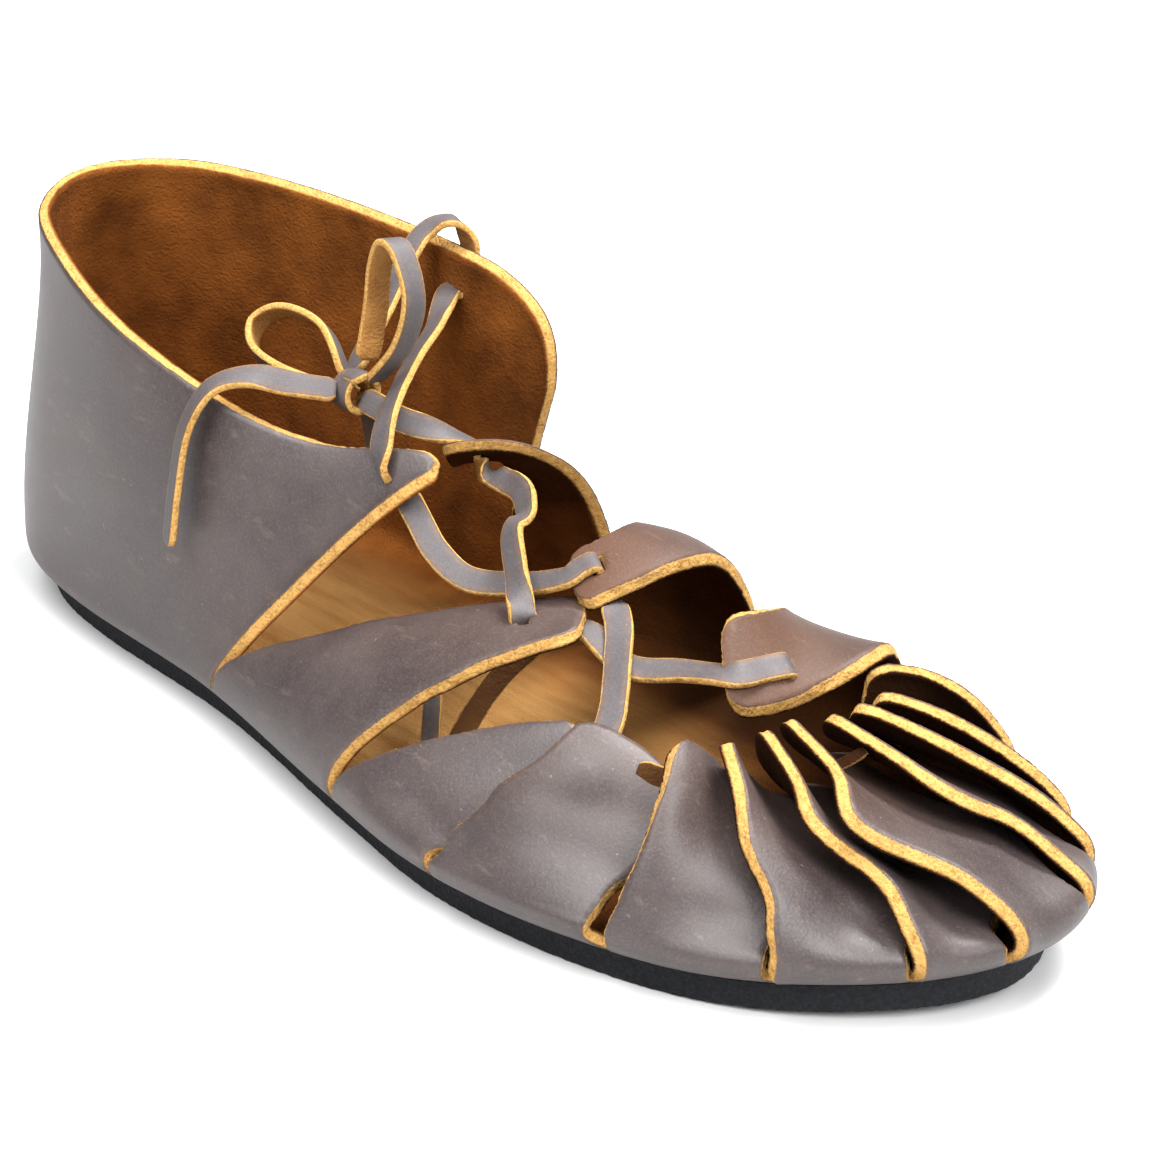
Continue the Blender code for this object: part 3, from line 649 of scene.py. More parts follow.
# %% Fill the bottom with small faces
BOTTOM_INSET = 5.0
BOTTOM_STRIP = 9.0
BOTTOM_BACK, BOTTOM_FRONT = -126, 132
make_active(hide)
bpy.ops.object.mode_set(mode="EDIT")
bpy.ops.mesh.select_mode(type="FACE")
bpy.ops.mesh.select_all(action="DESELECT")
bottom = len(sheet.faces) - 1
select_where(hide, "faces", lambda face: face.index == bottom)
bpy.ops.mesh.inset(thickness=BOTTOM_INSET * MM)
for x in np.arange(BOTTOM_BACK, BOTTOM_FRONT, BOTTOM_STRIP):
    bpy.ops.mesh.bisect(plane_co=(x * MM, 0, 0), plane_no=(1, 0, 0))
    select_where(hide, "faces", lambda face: len(face.verts) > 4)
bpy.ops.mesh.quads_convert_to_tris(ngon_method="BEAUTY")
bpy.ops.object.mode_set(mode="OBJECT")
print("with its bottom filled,", len(hide.data.polygons), "faces")

# %% [markdown]
# ## The hide: creases and unevenness
#
# Oiled hide keeps every bend. It swells a little between its pulls and creases where it is drawn in.
# The broad unevenness is a slow random swell. The creases are listed one by one, each as a line on the
# shoe with its own width and depth, where the real hide is pulled: at the feet of the flaps, round the
# heel and in the bends of the quarters.

# %% Swell and crease the sheet
SWELL_SIZE = 24.0
SWELL_HEIGHT = 0.35
SWELL_FROM = HIDE_FLOOR + 3
SWELL_SPAN = 8
SHOULDER = 0.45
SHOULDER_AT = 1.7
Crease = namedtuple("Crease", "start end width depth")
CREASES = [
    Crease((-20, -46, 22), (-4, -40, 34), 2.4, 0.7),
    Crease((-12, -47, 18), (6, -45, 28), 2.0, 0.5),
    Crease((20, -50, 20), (32, -44, 30), 2.0, 0.5),
    Crease((-96, -36, 30), (-70, -39, 42), 2.6, 0.6),
    Crease((-104, -33, 44), (-80, -37, 54), 2.2, 0.5),
    Crease((-136, -14, 34), (-137, 14, 38), 2.6, 0.6),
    Crease((-134, -12, 50), (-134, 14, 52), 2.2, 0.5),
    Crease((-104, 33, 46), (-76, 36, 40), 2.4, 0.6),
    Crease((-40, 40, 60), (-22, 42, 46), 2.4, 0.6),
    Crease((-8, 42, 36), (10, 40, 46), 2.2, 0.5),
    Crease((60, 49, 26), (70, 40, 38), 2.0, 0.4),
]


def crease_depths(points, crease):
    """How far each point sinks into a crease, with soft shoulders beside it."""
    start, end = np.array(crease.start, float), np.array(crease.end, float)
    line = end - start
    share = np.clip((points - start) @ line / (line @ line), 0, 1)
    away = np.linalg.norm(points - start - share[:, None] * line, axis=1) / crease.width
    fade = np.sin(np.pi * np.clip(share, 0.02, 0.98)) ** 0.5
    shoulders = SHOULDER * np.exp(-((away - SHOULDER_AT) ** 2))
    return crease.depth * fade * (np.exp(-away**2) - shoulders)


points, normals = read_points(hide), read_normals(hide)
free = ease(points[:, 2], SWELL_FROM, SWELL_SPAN)
moved = SWELL_HEIGHT * free * rough(points, SWELL_SIZE)
for crease in CREASES:
    moved -= crease_depths(points, crease)
write_points(hide, points + normals * moved[:, None])
print("the sheet swells and sinks by up to", np.abs(moved).max().round(2), "mm")

# %% [markdown]
# ## The hide: thickness and raw edges
#
# A Solidify modifier gives the sheet its wall. Each point then keeps a number, its depth: 1 on the
# grain side, -1 on the flesh side and between them on the cut edges. The finish reads that number, just
# as the dye of a real hide stops a little way in. The cut edges are divided more finely, smoothed with
# the rest, and roughened, because raw leather has no clean edge.

# %% Find the cut edges
count = len(hide.data.vertices)
cut_points = []
inward = np.zeros((count, 3))
mesh = bmesh.new()
mesh.from_mesh(hide.data)
for vert in mesh.verts:
    rim_edges = [edge for edge in vert.link_edges if edge.is_boundary]
    if len(rim_edges) == 2:
        before, after = [edge.other_vert(vert).co for edge in rim_edges]
        along = (after - before).normalized()
        centres = [face.calc_center_median() for face in vert.link_faces]
        into = sum(centres, Vector()) / len(centres) - vert.co
        into -= along * into.dot(along) + vert.normal * into.dot(vert.normal)
        inward[vert.index] = np.array(into) / MM
        cut_points += [np.array(vert.co) / MM, np.array(vert.co + after) / 2 / MM]
mesh.free()
reach = np.linalg.norm(inward, axis=1)
on_rim = reach > 0
away = np.zeros((count, 3))
away[on_rim] = -inward[on_rim] / reach[on_rim, None]
print(int(on_rim.sum()), "points of the sheet lie on its cuts")

# %% Thicken the sheet
RIM_CREASE = 0.45
sheet_normals = read_normals(hide)
apply_modifier(hide, "SOLIDIFY", thickness=HIDE_THICKNESS * MM, offset=0, use_even_offset=False,
               use_quality_normals=True, edge_crease_outer=RIM_CREASE, edge_crease_inner=RIM_CREASE)
walls = read_points(hide)
first_side = np.einsum("ij,ij->i", walls[:count] - walls[count:2 * count], sheet_normals)
grain_first = np.median(first_side) > 0
write_values(hide, "depth", np.repeat([1, -1] if grain_first else [-1, 1], count))
print("the hide reaches from", walls.min(axis=0).round(1), "to", walls.max(axis=0).round(1))

# %% Slope the cut edges
RIM_SWELL = 0.45
REACH_LIMIT = 1.1
slopes = np.zeros(count)
slopes[:len(sheet.slopes)] = sheet.slopes
sides = [slice(0, count), slice(count, 2 * count)]
grain_side, flesh_side = sides if grain_first else reversed(sides)
grain_shift = np.maximum(-slopes / 2, -REACH_LIMIT * reach)
flesh_shift = np.maximum(slopes / 2, -REACH_LIMIT * reach)
walls[grain_side] += away * grain_shift[:, None]
walls[flesh_side] += away * flesh_shift[:, None] - sheet_normals * (RIM_SWELL * on_rim)[:, None]
write_points(hide, walls)
print("the cuts slope by up to", np.abs(slopes).max(), "mm")

# %% Divide the cut edges and smooth the hide
RIM_CUTS = 2
SHARP_DEPTH = 0.99
SAME_DEPTH = 0.05
make_active(hide)
bpy.ops.object.mode_set(mode="EDIT")
bpy.ops.mesh.select_mode(type="EDGE")
bpy.ops.mesh.select_all(action="DESELECT")
select_where(hide, "edges", lambda edge: abs(edge.verts[0].index - edge.verts[1].index) == count)
bpy.ops.mesh.subdivide(number_cuts=RIM_CUTS)
bpy.ops.object.mode_set(mode="OBJECT")
apply_modifier(hide, "SUBSURF", levels=1, render_levels=1)

bpy.ops.object.mode_set(mode="EDIT")
bpy.ops.mesh.select_all(action="DESELECT")
mesh = bmesh.from_edit_mesh(hide.data)
depth_layer = mesh.verts.layers.float["depth"]
for face in mesh.faces:
    if min(abs(vert[depth_layer]) for vert in face.verts) < SHARP_DEPTH:
        for edge in face.edges:
            if abs(edge.verts[0][depth_layer] - edge.verts[1][depth_layer]) < SAME_DEPTH:
                edge.select_set(True)
bmesh.update_edit_mesh(hide.data)
bpy.ops.mesh.subdivide(number_cuts=1)
bpy.ops.object.mode_set(mode="OBJECT")
print("the hide has", triangles(hide), "triangles")

# %% Roughen the cut edges
RIM_REACH = 12.0
CUT_DEPTH = 0.9
BESIDE_CUT = HIDE_THICKNESS / 2 + 0.35
FRAY = 0.24
BESIDE_FRAY = 0.12
TUFT_SIZE = 0.75
CLUMP_SIZE = 2.1
CLUMP_SHARE = 0.8
CLUMP_SHIFT = 3.0
tree = KDTree(len(cut_points))
for number, point in enumerate(cut_points):
    tree.insert(point, number)
tree.balance()
points, normals, depth = read_points(hide), read_normals(hide), read_values(hide, "depth")
rim = np.array([tree.find(point)[2] for point in points])
on_cut = (np.abs(depth) < CUT_DEPTH) & (rim < HIDE_THICKNESS)
beside_cut = (np.abs(depth) >= CUT_DEPTH) & (rim < BESIDE_CUT)
fray = np.zeros(len(points))
clumps = CLUMP_SHARE * rough(points[on_cut], CLUMP_SIZE, CLUMP_SHIFT)
fray[on_cut] = FRAY * (rough(points[on_cut], TUFT_SIZE) + clumps)
fray[beside_cut] = BESIDE_FRAY * rough(points[beside_cut], TUFT_SIZE)
write_points(hide, points + normals * fray[:, None])
write_values(hide, "rim", np.minimum(rim, RIM_REACH))
hide.data.shade_smooth()
print(int(on_cut.sum()), "points on the cut edges")

# %% [markdown]
# ## A finish for leather
#
# The finish of the hide is one material that changes with depth. The grain is dark taupe with slow
# patches where the oil has moved, and with flecks, scratches and pale specks. It is browner and duller
# where a flap is warm. The cut edges are golden tan and granular. The flesh side is a rusty suede with
# painted shade under the flaps, on the inner side and at the toe, and a painted pool of light, pale and
# fibrous, on the bottom. A little noise added to the depth makes the border between them ragged. A
# small class adds the nodes, so that each line below reads as one step of painting.


# %% Set out a finish
class Finish:
    """A material. Each method adds a node, and most give back its output."""

    def __init__(self, name):
        self.material = bpy.data.materials.new(name)
        self.material.use_nodes = True
        self.tree = self.material.node_tree
        self.shader = self.tree.nodes["Principled BSDF"]
        self.place = self.tree.nodes.new("ShaderNodeTexCoord").outputs["Object"]

    def join(self, socket, value):
        """Link an output to a socket, or set the socket to a plain value."""
        if isinstance(value, bpy.types.NodeSocket):
            self.tree.links.new(value, socket)
        else:
            socket.default_value = value

    def put(self, name, value):
        self.join(self.shader.inputs[name], value)

    def add(self, kind, inputs, **settings):
        node = self.tree.nodes.new(kind)
        for setting, value in settings.items():
            setattr(node, setting, value)
        for name, value in inputs.items():
            self.join(node.inputs[name], value)
        return node.outputs

    def noise(self, scale, detail=3.0, roughness=0.55, stretch=(1, 1, 1), turn=(0, 0, 0)):
        """Noise from 0 to 1 with about scale lumps in a metre, which can be stretched and turned."""
        place = self.place
        if stretch != (1, 1, 1):
            inputs = {"Vector": place, "Rotation": turn, "Scale": stretch}
            place = self.add("ShaderNodeMapping", inputs)[0]
        inputs = {"Vector": place, "Scale": scale, "Detail": detail, "Roughness": roughness}
        return self.add("ShaderNodeTexNoise", inputs)["Fac"]

    def cells(self, scale):
        """Distance from the middle of the nearest cell, with about scale cells in a metre."""
        inputs = {"Vector": self.place, "Scale": scale}
        return self.add("ShaderNodeTexVoronoi", inputs, feature="F1")["Distance"]

    def attribute(self, name):
        return self.add("ShaderNodeAttribute", {}, attribute_name=name)["Fac"]

    def spread(self, value, low, high, to_low=0.0, to_high=1.0):
        """A value stretched from one range to another and kept inside it."""
        ends = {"From Min": low, "From Max": high, "To Min": to_low, "To Max": to_high}
        return self.add("ShaderNodeMapRange", {"Value": value, **ends})["Result"]

    def blend(self, share, first, second):
        return self.add("ShaderNodeMix", {0: share, 6: first, 7: second}, data_type="RGBA")[2]

    def maths(self, operation, *values):
        """Values joined by one operation, from left to right."""
        result = values[0]
        for value in values[1:]:
            result = self.add("ShaderNodeMath", {0: result, 1: value}, operation=operation)[0]
        return result

    def times(self, *values):
        return self.maths("MULTIPLY", *values)

    def weigh(self, *parts):
        """The sum of values that are each paired with a weight."""
        return self.maths("ADD", *[self.times(value, weight) for value, weight in parts])

    def bump(self, strength, distance, height):
        inputs = {"Strength": strength, "Distance": distance, "Height": height}
        self.put("Normal", self.add("ShaderNodeBump", inputs)["Normal"])


print("a finish has", sum(callable(part) for part in vars(Finish).values()), "methods")

# %% Choose the leather's colours
Leather = namedtuple(
    "Leather",
    "grain_dark grain_light grain_warm speck cut_dark cut_light"
    " flesh_deep flesh_dark flesh_light bottom rough",
)
HIDE_COLORS = Leather(
    grain_dark=(0.027, 0.0195, 0.0205, 1), grain_light=(0.053, 0.040, 0.038, 1),
    grain_warm=(0.066, 0.028, 0.014, 1), speck=(0.30, 0.22, 0.16, 1),
    cut_dark=(0.15, 0.066, 0.015, 1), cut_light=(0.43, 0.245, 0.075, 1),
    # The darkest flesh colour is painted shade on the flesh side.
    flesh_deep=(0.014, 0.005, 0.0015, 1), flesh_dark=(0.065, 0.019, 0.003, 1),
    # The bottom colour is painted light, a pale pool on the inside bottom.
    flesh_light=(0.19, 0.060, 0.010, 1), bottom=(0.26, 0.135, 0.043, 1), rough=0.40,
)
LEATHER_NOISES = {  # lumps in a metre, detail, roughness
    "patches": (45, 4, 0.6),
    "nap": (60, 5, 0.55),
    "scuffs": (260, 4, 0.7),
    "specks": (620, 2, 0.75),
    "fine": (900, 3, 0.6),
    "crumbs": (1500, 2, 0.6),
    "dust": (2200, 2, 0.7),
}
SCRATCH_STRETCH, SCRATCH_TURN = (90, 420, 300), (0.4, 0.3, 0.6)
FIBRE_STRETCH = (30, 220, 120)
PORES = 1300.0
print("leather colours:", len(HIDE_COLORS) - 1)


# %% Paint the grain and the flesh
def grain_color(f, colors, lumps):
    """Mottled taupe, browner where it is warm, with flecks, scratches, specks and a worn rim."""
    mottled = lumps["mottled"]
    color = f.blend(f.spread(mottled, 0.34, 0.66), colors.grain_dark, colors.grain_light)
    warm = f.times(f.attribute("warmth"), f.spread(mottled, 0.3, 0.6, 0.65, 1.0))
    color = f.blend(warm, color, colors.grain_warm)
    flecks = f.spread(lumps["dust"], 0.48, 0.72, 0.0, 0.085)
    streaks = f.noise(1, 3, 0.6, SCRATCH_STRETCH, SCRATCH_TURN)
    scratches = f.spread(streaks, 0.62, 0.74, 0.0, 0.10)
    specks = f.spread(lumps["specks"], 0.70, 0.76, 0.0, 0.27)
    for marks in (flecks, scratches, specks):
        color = f.blend(marks, color, colors.speck)
    beside_cut = f.spread(f.attribute("rim"), 1.7, 1.0)
    worn = f.times(beside_cut, f.spread(lumps["fine"], 0.4, 0.65, 0.0, 0.4))
    return f.blend(worn, color, colors.cut_dark)


def flesh_color(f, colors, lumps):
    """Rusty suede, with painted shade under the flaps, on the inner side and at the toe, and a painted
    pool of light, pale and fibrous, on the bottom.
    """
    color = f.blend(f.spread(lumps["nap"], 0.3, 0.7), colors.flesh_dark, colors.flesh_light)
    spot = f.add("ShaderNodeSeparateXYZ", {"Vector": f.place})
    # Painted shade: the flesh darkens under the flaps, on the inner side and at the toe, where it lies
    # in shade.
    shade_under_flaps = f.spread(f.attribute("warmth"), 0.0, 0.25, 0.0, 0.85)
    shade_on_inner_side = f.times(f.spread(spot["Y"], 0.012, 0.032, 0.0, 0.8), f.spread(spot["X"], -0.03, 0.02))
    shade_in_toe = f.spread(spot["X"], 0.070, 0.092, 0.0, 0.95)
    color = f.blend(f.maths("MAXIMUM", shade_under_flaps, shade_on_inner_side, shade_in_toe), color, colors.flesh_deep)
    fibres = f.spread(f.noise(1, 4, 0.6, FIBRE_STRETCH), 0.25, 0.6, 0.35, 1.0)
    # Painted light: a pool of pale gold on the low middle of the bottom, where light falls, with the
    # real fibres of the flesh in it.
    lit_bottom = f.times(f.spread(spot["Z"], 0.020, 0.009), fibres,
                       f.spread(spot["X"], 0.070, 0.040), f.spread(spot["Y"], 0.030, 0.010))
    return f.blend(lit_bottom, color, colors.bottom)


print("noises in the leather:", ", ".join(LEATHER_NOISES))


# %% Paint the leather by its depth
def leather_finish(name, colors):
    f = Finish(name)
    lumps = {kind: f.noise(*values) for kind, values in LEATHER_NOISES.items()}
    crumbs, scuffs, dust = lumps["crumbs"], lumps["scuffs"], lumps["dust"]
    mottled = lumps["mottled"] = f.weigh((lumps["patches"], 0.6), (scuffs, 0.25), (dust, 0.15))
    depth, warmth = f.attribute("depth"), f.attribute("warmth")
    ragged = f.times(f.maths("SUBTRACT", crumbs, 0.5), 0.5)
    grain = f.spread(f.maths("ADD", depth, ragged), 0.66, 0.86)
    flesh = f.spread(f.maths("SUBTRACT", ragged, depth), 0.4, 0.75)

    tufts = f.weigh((crumbs, 0.55), (scuffs, 0.45))
    cut_color = f.blend(f.spread(tufts, 0.28, 0.54), colors.cut_dark, colors.cut_light)
    raw_color = f.blend(flesh, cut_color, flesh_color(f, colors, lumps))
    f.put("Base Color", f.blend(grain, raw_color, grain_color(f, colors, lumps)))

    shine = f.spread(mottled, 0.3, 0.7, colors.rough, colors.rough + 0.13)
    shine = f.maths("ADD", shine, f.times(warmth, 0.17))
    f.put("Roughness", f.maths("MAXIMUM", shine, f.spread(grain, 0, 1, 0.95, 0.0)))
    gloss = f.times(f.spread(warmth, 0, 1, 1.0, 0.55), f.spread(grain, 0, 1, 0.08, 0.5))
    f.put("Specular IOR Level", gloss)

    grain_height = f.times(f.maths("ADD", f.cells(PORES), dust), 0.05)
    raw_height = f.weigh((crumbs, 0.9), (lumps["fine"], 0.7))
    f.bump(0.8, 0.0006, f.add("ShaderNodeMix", {0: grain, 2: raw_height, 3: grain_height})[0])
    return f.material


hide.data.materials.append(leather_finish("oiled_hide", HIDE_COLORS))
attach(hide, "root")
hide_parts("upper")
print("the hide is finished")

# %% [markdown]
# ## The sole
#
# The sole is a slab of foam rubber, knife-cut round the shoe, so its side is open and crumbly while its
# faces are flat. It starts as a flat circle whose points are moved onto the sole's edge. The face is
# sliced across so that it can bend up at the toe, then it is extruded, its lower edge is bevelled, and
# its side is divided and roughened.

# %% Cut the sole's outline
SOLE_POINTS = 760
SOLE_SLICE = 7.0
SOLE_BACK, SOLE_FRONT = -133, 138
bpy.ops.mesh.primitive_circle_add(vertices=SOLE_POINTS, radius=1.0, fill_type="NGON")
sole = bpy.context.object
sole.name = sole.data.name = "sole"
outline = edge_at(np.arange(SOLE_POINTS) * EDGE_TOTAL / SOLE_POINTS)
outline[:, 2] = 0
write_points(sole, outline)
bpy.ops.object.mode_set(mode="EDIT")
for x in np.arange(SOLE_BACK, SOLE_FRONT, SOLE_SLICE):
    bpy.ops.mesh.select_all(action="SELECT")
    bpy.ops.mesh.bisect(plane_co=(x * MM, 0, 0), plane_no=(1, 0, 0))
bpy.ops.mesh.select_all(action="SELECT")
bpy.ops.mesh.normals_make_consistent(inside=False)
bpy.ops.mesh.extrude_region_move(TRANSFORM_OT_translate={"value": (0, 0, SOLE_THICKNESS * MM)})
bpy.ops.mesh.select_all(action="SELECT")
bpy.ops.mesh.normals_make_consistent(inside=False)
bpy.ops.object.mode_set(mode="OBJECT")
print("the sole's slab has", len(sole.data.polygons), "faces")

# %% Divide and bevel its side
SOLE_SIDE_CUTS = 8
SOLE_EDGE_ROUND = 0.9
TALL_EDGE = 4.0
FLOOR_LEVEL = 0.1


def is_lower_rim(edge):
    on_floor = max(vert.co.z for vert in edge.verts) < FLOOR_LEVEL * MM
    upright = any(abs(face.normal.z) < 0.5 for face in edge.link_faces)
    return len(edge.link_faces) == 2 and on_floor and upright


bpy.ops.object.mode_set(mode="EDIT")
bpy.ops.mesh.select_mode(type="EDGE")
select_where(sole, "edges", is_lower_rim)
bpy.ops.mesh.bevel(offset=SOLE_EDGE_ROUND * MM, segments=2, affect="EDGES")
select_where(sole, "edges", lambda edge: abs(edge.verts[0].co.z - edge.verts[1].co.z) > TALL_EDGE * MM)
bpy.ops.mesh.subdivide(number_cuts=SOLE_SIDE_CUTS)
bpy.ops.object.mode_set(mode="OBJECT")
print("the sole has", triangles(sole), "triangles")

# %% Roughen its side and spring its toe
CRUMB_SIZE = 1.2
CRUMB_HEIGHT = 0.12
CRUMB_SINK = 0.4
FINE_SIZE = 0.7
FINE_SHARE = 0.6
FINE_SHIFT = 5.0
SHARP_ANGLE = math.radians(50)
points, normals = read_points(sole), read_normals(sole)
on_side = (np.abs(normals[:, 2]) < 0.8) & (points[:, 2] < SOLE_THICKNESS - 0.01)
moved = np.zeros(len(points))
fine = FINE_SHARE * rough(points[on_side], FINE_SIZE, FINE_SHIFT)
moved[on_side] = CRUMB_HEIGHT * (rough(points[on_side], CRUMB_SIZE) + fine - CRUMB_SINK)
points += normals * moved[:, None]
points[:, 2] = np.maximum(points[:, 2], 0) + toe_lift(points[:, 0])
write_points(sole, points)
sole.data.shade_smooth()
make_active(sole)
bpy.ops.object.shade_smooth_by_angle(angle=SHARP_ANGLE)
print(int(on_side.sum()), "points on the sole's side")

# %% Paint the foam rubber
RUBBER_DARK = (0.0015, 0.0018, 0.0027, 1)
RUBBER_LIGHT = (0.0068, 0.0078, 0.0115, 1)
FOAM_CELLS = 1100.0
RUBBER_DUST = (1300, 3, 0.65)


def rubber_finish(name):
    f = Finish(name)
    cells = f.cells(FOAM_CELLS)
    dust = f.noise(*RUBBER_DUST)
    lit = f.maths("SUBTRACT", f.maths("ADD", dust, 0.3), cells)
    f.put("Base Color", f.blend(f.spread(lit, 0.1, 0.75), RUBBER_DARK, RUBBER_LIGHT))
    f.put("Roughness", 0.85)
    f.put("Specular IOR Level", 0.3)
    f.bump(0.7, 0.0004, f.maths("SUBTRACT", dust, f.times(cells, 0.8)))
    return f.material


sole.data.materials.append(rubber_finish("foam_rubber"))
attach(sole, "root")
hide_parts("outsole")
print("the sole is finished")

# %% [markdown]
# ## The thong
#
# The lace is a flat thong cut from the same leather, dark on its grain side and tan on its edges and
# flesh side. It is one strip, so it is swept as one: a rounded oblong section carried along a smooth
# line. Each stop on the line has a facing, the way the grain side looks there, so the thong can twist
# between slits as the real one does.

# %% Find the thong slits
QuarterHole = namedtuple("QuarterHole", "name along_rim up_wall")
QUARTER_HOLES = [
    QuarterHole("outer_quarter", 0.924, 0.89),
    QuarterHole("inner_quarter", 0.214, 0.88),
]
SlitFrame = namedtuple("SlitFrame", "centre outward ahead")
QUARTER_NUDGE = 0.01
FLAP_NUDGE = 0.1


def unit(vector):
    return np.asarray(vector, float) / np.linalg.norm(vector)


def quarter_slit(hole):
    rim = hole.along_rim + QUARTER_NUDGE * np.array([0, 1, -1, 0, 0])
    up = hole.up_wall + QUARTER_NUDGE * np.array([0, 0, 0, 1, -1])
    centre, after, before, above, below = quarter_points(rim, up)
    return SlitFrame(centre, unit(np.cross(after - before, above - below)), unit(above - below))


def flap_slit(flap):
    rows = flap_rows(flap)
    along = (rows[FLAP_ROWS - 1] + rows[FLAP_ROWS]) / 2
    middle = np.mean(THONG_SLIT.get(flap.name, MIDDLE_SLIT))
    across = middle + FLAP_NUDGE * np.array([0, 1, -1, 0])
    centre, after, before, tip = flap_points(flap, across, np.array([along, along, along, 1.0]))
    ahead = unit(tip - centre)
    return SlitFrame(centre, unit(np.cross(after - before, ahead)), ahead)


SLITS = {hole.name: quarter_slit(hole) for hole in QUARTER_HOLES}
SLITS.update({flap.name: flap_slit(flap) for flap in FLAPS})
print("slit in the outer quarter:", SLITS["outer_quarter"].centre.round(1))

# %% Follow the stops of a thong
THONG_STEP = 0.8
FEWEST_STEPS = 8
STEPS_PER_STOP = 16
Stop = namedtuple("Stop", "point facing")


def even_steps(rows, lengths):
    """Rows of a table at even steps along its lengths."""
    at = np.linspace(0, lengths[-1], max(FEWEST_STEPS, int(lengths[-1] / THONG_STEP)))
    return np.stack([np.interp(at, lengths, rows[:, k]) for k in range(3)], axis=1)


def smooth_stops(stops):
    """Points and facings along a smooth line through the stops, evenly spaced, and its length."""
    knots = [stops[0], *stops, stops[-1]]
    points = [np.array(knot.point, float) for knot in knots]
    facings = [np.array(knot.facing, float) for knot in knots]
    t = np.arange(STEPS_PER_STOP)[:, None] / STEPS_PER_STOP
    line, facing = [], []
    for k in range(len(stops) - 1):
        line.append(catmull_rom(*points[k:k + 4], t))
        facing.append(facings[k + 1] + (facings[k + 2] - facings[k + 1]) * smoothstep(t))
    line = np.concatenate(line + [points[-1:]])
    facing = np.concatenate(facing + [facings[-1:]])
    lengths = np.concatenate([[0], np.cumsum(np.linalg.norm(np.diff(line, axis=0), axis=1))])
    return even_steps(line, lengths), even_steps(facing, lengths), lengths[-1]


print("a thong has a point every", THONG_STEP, "mm")

# %% Sweep a thong
THONG_WIDTH = 5.5
THONG_THICKNESS = 1.6
WIDTH_WANDER = 0.05
WANDER_SIZE = 6.0
WANDER_SHIFT = 2.0
END_WIDTH = 0.62
END_ROUND = 1.6
EDGE_FROM = 0.9
EDGE_DEPTH = 0.7
SECTION = np.array([  # across and up, as shares of half the width and half the thickness
    (1.0, -0.45), (1.0, 0.45), (0.93, 0.9), (0.8, 1.0), (0.4, 1.0), (0.0, 1.0), (-0.4, 1.0),
    (-0.8, 1.0), (-0.93, 0.9), (-1.0, 0.45), (-1.0, -0.45), (-0.93, -0.9), (-0.8, -1.0),
    (-0.4, -1.0), (0.0, -1.0), (0.4, -1.0), (0.8, -1.0), (0.93, -0.9),
])


def thong_points(line, facing, width):
    """The section carried along a line. The width wanders, and the ends are rounded."""
    ahead = np.gradient(line, axis=0)
    across = np.cross(ahead, facing)
    across /= np.linalg.norm(across, axis=1, keepdims=True)
    up = np.cross(across, ahead)
    up /= np.linalg.norm(up, axis=1, keepdims=True)
    steps = np.arange(len(line))
    from_end = np.minimum(steps, steps[::-1]) * THONG_STEP
    rounding = END_WIDTH + (1 - END_WIDTH) * np.sqrt(np.clip(from_end / END_ROUND, 0, 1))
    wander = (1 + WIDTH_WANDER * rough(line, WANDER_SIZE, WANDER_SHIFT)) * rounding
    sides = SECTION[:, 0][None, :, None] * (width / 2 * wander)[:, None, None] * across[:, None]
    rises = SECTION[:, 1][None, :, None] * THONG_THICKNESS / 2 * up[:, None]
    return (line[:, None] + sides + rises).reshape(-1, 3)


def tube_faces(rings, count):
    """Faces round a tube from ring to ring, and a cap at each end."""
    faces = []
    for here in range(0, (rings - 1) * count, count):
        after = here + count
        for k in range(count):
            turn = (k + 1) % count
            faces.append((here + k, here + turn, after + turn, after + k))
    faces.append(tuple(reversed(range(count))))
    faces.append(tuple(range((rings - 1) * count, rings * count)))
    return faces


def sweep_thong(name, stops, width=THONG_WIDTH, browning_and_shade=0.0):
    """A piece of thong through its stops, with its line and its length."""
    line, facing, length = smooth_stops(stops)
    piece = make_piece(name, thong_points(line, facing, width), tube_faces(len(line), len(SECTION)))
    make_active(piece)
    bpy.ops.object.mode_set(mode="EDIT")
    bpy.ops.mesh.select_all(action="SELECT")
    bpy.ops.mesh.normals_make_consistent(inside=False)
    bpy.ops.object.mode_set(mode="OBJECT")
    sideways = np.abs(SECTION[:, 0])
    depth = SECTION[:, 1] * np.where(sideways > EDGE_FROM, EDGE_DEPTH, 1.0)
    write_values(piece, "depth", np.tile(depth, len(line)))
    write_values(piece, "rim", np.tile((1 - sideways) * width / 2, len(line)))
    # This number browns the grain and paints shade on the flesh side.
    write_values(piece, "warmth", np.full(len(piece.data.vertices), browning_and_shade))
    piece.data.shade_smooth()
    return piece, line, length


def lay_cord(piece, length):
    """Print the length of a free run of the thong."""
    print(piece.name, "is", round(length), "mm long")


print("a thong section has", len(SECTION), "points")

# %% [markdown]
# ## Lacing the shoe
#
# The thong is laced as two halves. One starts behind the outer front flap, rises through the inner
# middle flap, crosses to the outer quarter, rises through the inner quarter and comes back over the
# collar. The other starts at the inner front flap, passes under the outer back flap and up through it,
# rises through the inner back flap and ends at the bow. Each half passes through its slits, from the
# flesh side to the grain side.

# %% Set out the ways through a slit
BEFORE_SLIT = 3.2
AFTER_SLIT = 2.0
SLIT_TURN = 0.5


def out_through(name, facing):
    """Stops that carry the thong out through a slit, from the flesh side to the grain side."""
    slit = SLITS[name]
    facing = unit(facing)
    return [
        Stop(slit.centre - slit.outward * BEFORE_SLIT, facing - slit.outward * SLIT_TURN),
        Stop(slit.centre, facing),
        Stop(slit.centre + slit.outward * AFTER_SLIT, facing + slit.outward * SLIT_TURN),
    ]


